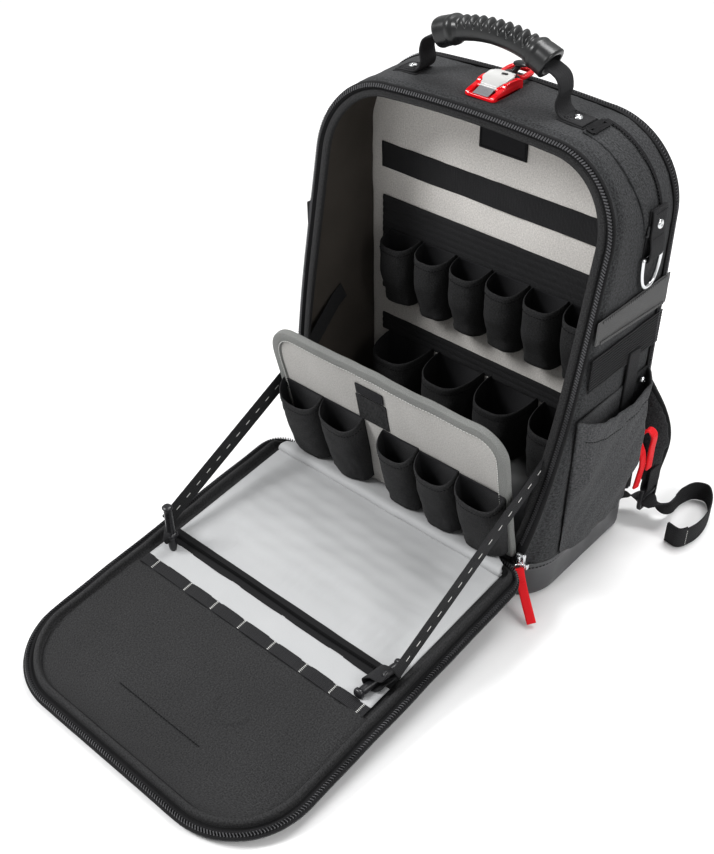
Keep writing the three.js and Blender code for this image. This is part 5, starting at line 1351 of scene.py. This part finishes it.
# shoulder straps, locks and webbing
def stuffed(piece, cell, cap, pressure=4.0):
    """Swells a padded piece as stuffed cloth and keeps the result.

    The skin is rebuilt in even cells, then held by cloth tension against inner pressure without weight for
    twenty steps. No point moves further than cap, in mm, and the faces are shaded smooth.
    """
    even = piece.modifiers.new("even", "REMESH")
    even.mode = "VOXEL"
    even.voxel_size = cell * 0.001
    graph = bpy.context.evaluated_depsgraph_get()
    mesh = bpy.data.meshes.new_from_object(piece.evaluated_get(graph))
    piece.modifiers.clear()
    piece.data = mesh
    cover = piece.modifiers.new("cover", "CLOTH")
    settings = cover.settings
    settings.quality = 6
    settings.mass = 0.2
    settings.tension_stiffness = settings.compression_stiffness = 18
    settings.bending_stiffness = 2.0
    settings.use_pressure = True
    settings.uniform_pressure_force = pressure
    settings.effector_weights.gravity = 0
    cover.point_cache.frame_start, cover.point_cache.frame_end = 1, 20
    for step in range(1, 21):
        bpy.context.scene.frame_set(step)
    graph = bpy.context.evaluated_depsgraph_get()
    swollen = bpy.data.meshes.new_from_object(piece.evaluated_get(graph))
    piece.modifiers.clear()
    bpy.context.scene.frame_set(1)
    start, end = points_of(mesh), points_of(swollen)
    move = end - start
    length = np.linalg.norm(move, axis=1, keepdims=True)
    place_points(mesh, start + move * np.minimum(1, cap / np.maximum(length, 1e-6)))
    mesh.polygons.foreach_set("use_smooth", [True] * len(mesh.polygons))
    mesh.update()
    return mesh


def points_of(mesh):
    """The mesh's points in mm."""
    flat = np.empty(len(mesh.vertices) * 3)
    mesh.vertices.foreach_get("co", flat)
    return flat.reshape(-1, 3) * 1000


def place_points(mesh, points):
    """Puts points, in mm, back into the mesh."""
    mesh.vertices.foreach_set("co", (points * 0.001).ravel())
    mesh.update()


def finer(piece):
    """One subdivision over the settled skin."""
    smooth = piece.modifiers.new("smooth", "SUBSURF")
    smooth.levels = smooth.render_levels = 1


SHOULDER = np.array([(49, 6.6, 432, 60, 11, 0), (50, 17, 416, 62, 11, 0), (52, 28, 394, 64, 11, 0),
                     (58, 38, 340, 66, 11, 0), (70, 39, 276, 66, 11, 0), (90, 35, 218, 60, 11, 0),
                     (116, 31, 174, 52, 11, 0), (150, 29, 140, 44, 10, 12), (176, 24, 106, 36, 8, 48),
                     (184, 18, 47.5, 27, 5, 88)], float)


def turned(path, turn, upward):
    """Direction across a strap: level to begin with, turned about its own run by so many degrees."""
    along = along_of(path)
    if upward:
        level = unit(np.cross(along, [0, 0, 1.0]))
        a = np.radians(turn)[:, None]
        return np.array([0, 0, 1.0]) * np.cos(a) + level * np.sin(a)
    level = unit(np.cross([0, -1.0, 0], along))
    a = -np.radians(turn)[:, None]
    return (level * np.cos(a) + np.cross(along, level) * np.sin(a)
            + along * (along * level).sum(axis=1, keepdims=True) * (1 - np.cos(a)))


def make_shoulder_strap(side, word):
    """Padded strap: an oblong section that narrows and turns to the lock, edged with binding."""
    rows = SHOULDER
    points = np.column_stack([rows[:, 0], rear_y(rows[:, 2]) + rows[:, 1], rows[:, 2]])
    count = 170
    path = smooth_path(points, count)
    run = np.r_[0, np.cumsum(np.linalg.norm(np.diff(points, axis=0), axis=1))]
    at = np.linspace(0, run[-1], count)
    width, thick, turn = (np.interp(at, run, rows[:, k]) for k in (3, 4, 5))
    across = turned(path, turn, False)
    mirror = np.array([side, 1, 1.0])
    k = np.minimum(at, run[-1] - at)
    close = np.sqrt(np.clip(k / 6, 0.12, 1))
    pad = sweep(f"shoulder_pad_{word}", path * mirror, across * mirror, (width - 3) * (0.86 + 0.14 * close),
                thick * close * 0.94, PAD_CLOTH, section=flat_section(40, 0.62), slot="black_fabric",
                replaces=(f"shoulder_strap_{word}",))
    stuffed(pad, 4.5, 2.0)
    finer(pad)
    normal = unit(np.cross(along_of(path), across))
    for edge in (-1, 1):
        reach = (width * (0.84 + 0.16 * close))[:, None] / 2 - 2.6
        rim = path + unit(np.cross(normal, along_of(path))) * reach * edge
        sweep(f"shoulder_edge_{word}_{edge}", (rim * mirror)[3:-4], (across * mirror)[3:-4], 5.4,
              6.4 * np.clip(thick[3:-4] / 11, 0.6, 1), BINDING_TAPE, section=flat_section(16, 0.6))
    inner = path + normal * (thick[:, None] / 2 + 1.5) * np.where(normal[:, 1:2] > 0, 1, -1)
    sweep(f"shoulder_tape_{word}", (inner * mirror)[4:-18], (across * mirror)[4:-18], 20, 1.8, WEBBING)
    tab = np.array([(187.0, 111, 72), (187.5, 110.5, 58), (187.6, 110, 47), (186.6, 110, 42),
                    (184, 110, 40.6), (181.4, 110, 42), (180.4, 110, 47), (180.6, 110.5, 58),
                    (181.4, 111, 72)])
    sweep(f"strap_tab_{word}", smooth_path(tab, 60) * mirror, [0, 1, 0], 24, 1.6, WEBBING)


WEB = np.array([(118, 95.3, 28, 0), (146, 96.6, 24, 4), (165, 104, 24, 40), (178, 109.8, 25.2, 90),
                (190, 110.2, 25.2, 90), (199, 114, 24, 45), (204, 123, 19, 12), (205, 136, 13.3, 0),
                (205, 152, 13.3, 0), (211, 170, 13.3, 0), (223, 175, 13.3, 0), (235, 162, 13.3, 0),
                (244, 136, 13.3, 0), (244, 108, 13.3, 0), (236, 90, 13.3, 0), (221, 91, 13.3, 0)], float)


def make_webbing(side, word):
    """Strap webbing through the lock; its free end stands on edge with a sewn fold at its tip."""
    path = smooth_path(WEB[:, :3], 260)
    run = np.r_[0, np.cumsum(np.linalg.norm(np.diff(WEB[:, :3], axis=0), axis=1))]
    turn = np.interp(np.linspace(0, run[-1], 260), run, WEB[:, 3])
    path[:, 2] = np.maximum(path[:, 2], 13.0)
    across = turned(path, turn, True)
    mirror = np.array([side, 1, 1.0])
    web = sweep(f"loose_webbing_{word}", path * mirror, across * mirror, 25, 1.8, WEBBING)
    tip = path[-26:] + unit(np.cross(along_of(path[-26:]), [0, 0, 1.0])) * 1.7
    fold = sweep(f"webbing_fold_{word}", tip * mirror, across[-26:] * mirror, 25, 1.8, WEBBING)
    line = path[-24]
    stitch_path = np.array([line + [0, 0, -10], line + [0, 0, 10]])
    facing = np.cross(along_of(path)[-24], [0, 0, 1.0])
    sewn = row_of_blocks(f"webbing_sewn_{word}", stitch_path * mirror + facing * mirror * -1.2,
                         along_of(path)[-24] * mirror, 2.4, (1.7, 0.6, 0.7), THREAD_PALE)
    join(f"loose_webbing_{word}", [web, fold, sewn], replaces=(f"strap_webbing_{word}",))
    centre = np.array([184, 110, 33.0]) * mirror
    bars = []
    for i, (y, z, half_y, half_z, half_x) in enumerate(((0, 11.2, 16.2, 2.0, 2.7), (0, 0, 14.5, 2.1, 2.2),
                                                       (0, -11.2, 16.2, 2.0, 2.7), (-15, 0, 1.7, 11.6, 2.4),
                                                       (15, 0, 1.7, 11.6, 2.4))):
        bars.append(pebble(f"lock_bar_{word}_{i}", centre + [0, y, z], (half_x, half_y, half_z),
                           BLACK_PLASTIC, power=0.35))
    join(f"lock_{word}", bars, replaces=(f"ladder_lock_{word}",))


for direction, word in ((-1, "left"), (1, "right")):
    make_shoulder_strap(direction, word)
    make_webbing(direction, word)


# back padding
def make_back_pad():
    """Mesh padding: a crowned slab, swollen, then pressed in along a centre groove and four channels."""
    s = np.linspace(-1, 1, 150)[None]
    t = np.linspace(0, 1, 200)[:, None]
    into = np.clip((np.abs(t - 0.5) - 0.44) / 0.06, 0, 1)
    half = 138 - 18 * (1 - np.sqrt(1 - into ** 2))
    x, z = s * half, 71 + 333 * t + 0 * s
    edge = np.clip(np.minimum(half - np.abs(x), np.minimum(z - 71, 404 - z)) / 16, 0, 1)
    y = rear_y(z) + 1.0 + 10.5 * np.sqrt(edge * (2 - edge))
    back = np.stack([x, rear_y(z) + 0.3, z], axis=-1)
    front = np.stack(np.broadcast_arrays(x, y, z), axis=-1)
    points = np.concatenate([front, back[:, ::-1]], axis=1)
    pad = skin("mesh_back_pad", points, MESH, around=True, ends=True, replaces=("back_pad",),
               slot="black_fabric")
    mesh = stuffed(pad, 3.6, 3.0)
    x, y, z = points_of(mesh).T
    sewn = bump_line(x, 7) * 0.72
    for height in (136, 204, 272, 340):
        sewn = np.maximum(sewn, bump_line(z - height, 4.2) * 0.5)
    rise = np.clip(y - rear_y(z), 0.3, 14.4)
    soft = 0.5 * crumple(x, z, 46, 95, 3) * (rise > 6)
    place_points(mesh, np.column_stack([x, rear_y(z) + rise * (1 - sewn) + soft, z]))
    finer(pad)
    border = rounded([(-139, 70), (139, 70), (139, 405), (-139, 405)], 20, 14)
    border = evenly_round(border, 400)
    path = np.column_stack([border[:, 0], rear_y(border[:, 1]) + 2.4, border[:, 1]])
    sweep("pad_edge", path, [0, 1, 0], 5.0, 5.0, BINDING_TAPE, closed=True, section=flat_section(14, 0.7))


make_back_pad()


# small inner pieces
def make_small_pieces():
    """Bare patches on the felt, a mesh patch on the board, a cord ring under the opening's top."""
    wall_sheet("wall_label", 27.5, 389, 419, 1.6, LABEL, rows=20, columns=30, thick=1.0, wave=0.1, seed=97)
    frame_line = rounded([(-25.5, 391.5), (25.5, 391.5), (25.5, 416.5), (-25.5, 416.5)], 1.0)
    frame_line = evenly(np.vstack([frame_line, frame_line[:1]]), 120)
    path = np.column_stack([frame_line[:, 0], wall_y(frame_line[:, 1], 2.2), frame_line[:, 1]])
    row_of_blocks("wall_label_stitches", path, np.cross(along_of(path), [0, 1.0, 0]), 2.6,
                  (1.8, 0.5, 0.5), THREAD_BLACK, up=[0, -1, 0])
    outline = rounded([(-33, 133), (2, 133), (2, 146.5), (-33, 146.5)], 1.2)
    plate("board_label", outline, lambda x, z, h: board_point(x, -h, z), 0.4, 1.6, LABEL, bevel=0.3)
    outline = rounded([(-35, 96), (4, 96), (4, 131), (-35, 131)], 1.5)
    plate("board_mesh", outline, lambda x, z, h: board_point(x, -h, z), 0.3, 1.2, MESH, bevel=0.3)
    a = np.linspace(0, 2 * math.pi, 60, endpoint=False)
    ring = np.column_stack([78 + 12 * np.cos(a), wall_y(424 + 9 * np.sin(a), 3.0), 424 + 9 * np.sin(a)])
    sweep("cord_ring", ring, [0, 1, 0], 2.2, 2.2, THREAD_BLACK, closed=True,
          section=round_section(10))


make_small_pieces()


# floor, light and camera
def make_studio():
    """Pale flat floor, broad soft lights, and the camera at the photo's angle."""
    x = np.linspace(-30000, 30000, 13)[None]
    y = np.linspace(-30000, 30000, 13)[:, None]
    points = np.stack(np.broadcast_arrays(x, y, 0 * x), axis=-1)
    mesh = bpy.data.meshes.new("studio_floor")
    index = np.arange(points.shape[0] * points.shape[1]).reshape(points.shape[:2])
    quads = np.stack([index[:-1, :-1], index[:-1, 1:], index[1:, 1:], index[1:, :-1]],
                     axis=-1).reshape(-1, 4)
    mesh.from_pydata((points.reshape(-1, 3) * 0.001).tolist(), [], quads.tolist())
    mesh.polygons.foreach_set("use_smooth", [True] * len(mesh.polygons))
    mesh.materials.append(moulding("studio_paper", (0.86, 0.86, 0.86), 0.8, depth=0.02, mottle=0.01))
    floor = bpy.data.objects.new("studio_floor", mesh)
    bpy.context.scene.collection.objects.link(floor)
    scene = bpy.context.scene
    world = bpy.data.worlds.new("studio")
    world.use_nodes = True
    world.node_tree.nodes["Background"].inputs["Color"].default_value = (1, 1, 1, 1)
    world.node_tree.nodes["Background"].inputs["Strength"].default_value = 0.5
    scene.world = world
    scene.view_settings.view_transform = "Standard"
    scene.view_settings.look = "Medium High Contrast"
    lamps = (("key", (-1.3, -1.5, 2.0), 1.0, 50), ("side", (1.7, -0.2, 1.4), 0.9, 12),
             ("top", (0.1, 0.9, 2.3), 1.2, 34))
    for name, place, size, power in lamps:
        data = bpy.data.lights.new(name, "AREA")
        data.shape, data.size, data.energy = "DISK", size, power
        lamp = bpy.data.objects.new(name, data)
        lamp.location = place
        toward = np.array([0, -0.05, 0.2]) - np.array(place)
        yaw = math.atan2(toward[1], toward[0])
        pitch = math.atan2(-toward[2], math.hypot(toward[0], toward[1]))
        lamp.rotation_euler = (math.pi / 2 - pitch, 0, yaw - math.pi / 2)
        scene.collection.objects.link(lamp)
    lens = bpy.data.cameras.new("camera")
    lens.lens, lens.sensor_width, lens.shift_x, lens.shift_y = 50.08, 36, 0.0181, 0.0006
    camera = bpy.data.objects.new("camera", lens)
    camera.location = (0.5881, -0.8283, 0.8752)
    camera.rotation_euler = (math.radians(90 - 37.795), math.radians(0.263), math.radians(41.889))
    scene.collection.objects.link(camera)
    scene.camera = camera


make_studio()
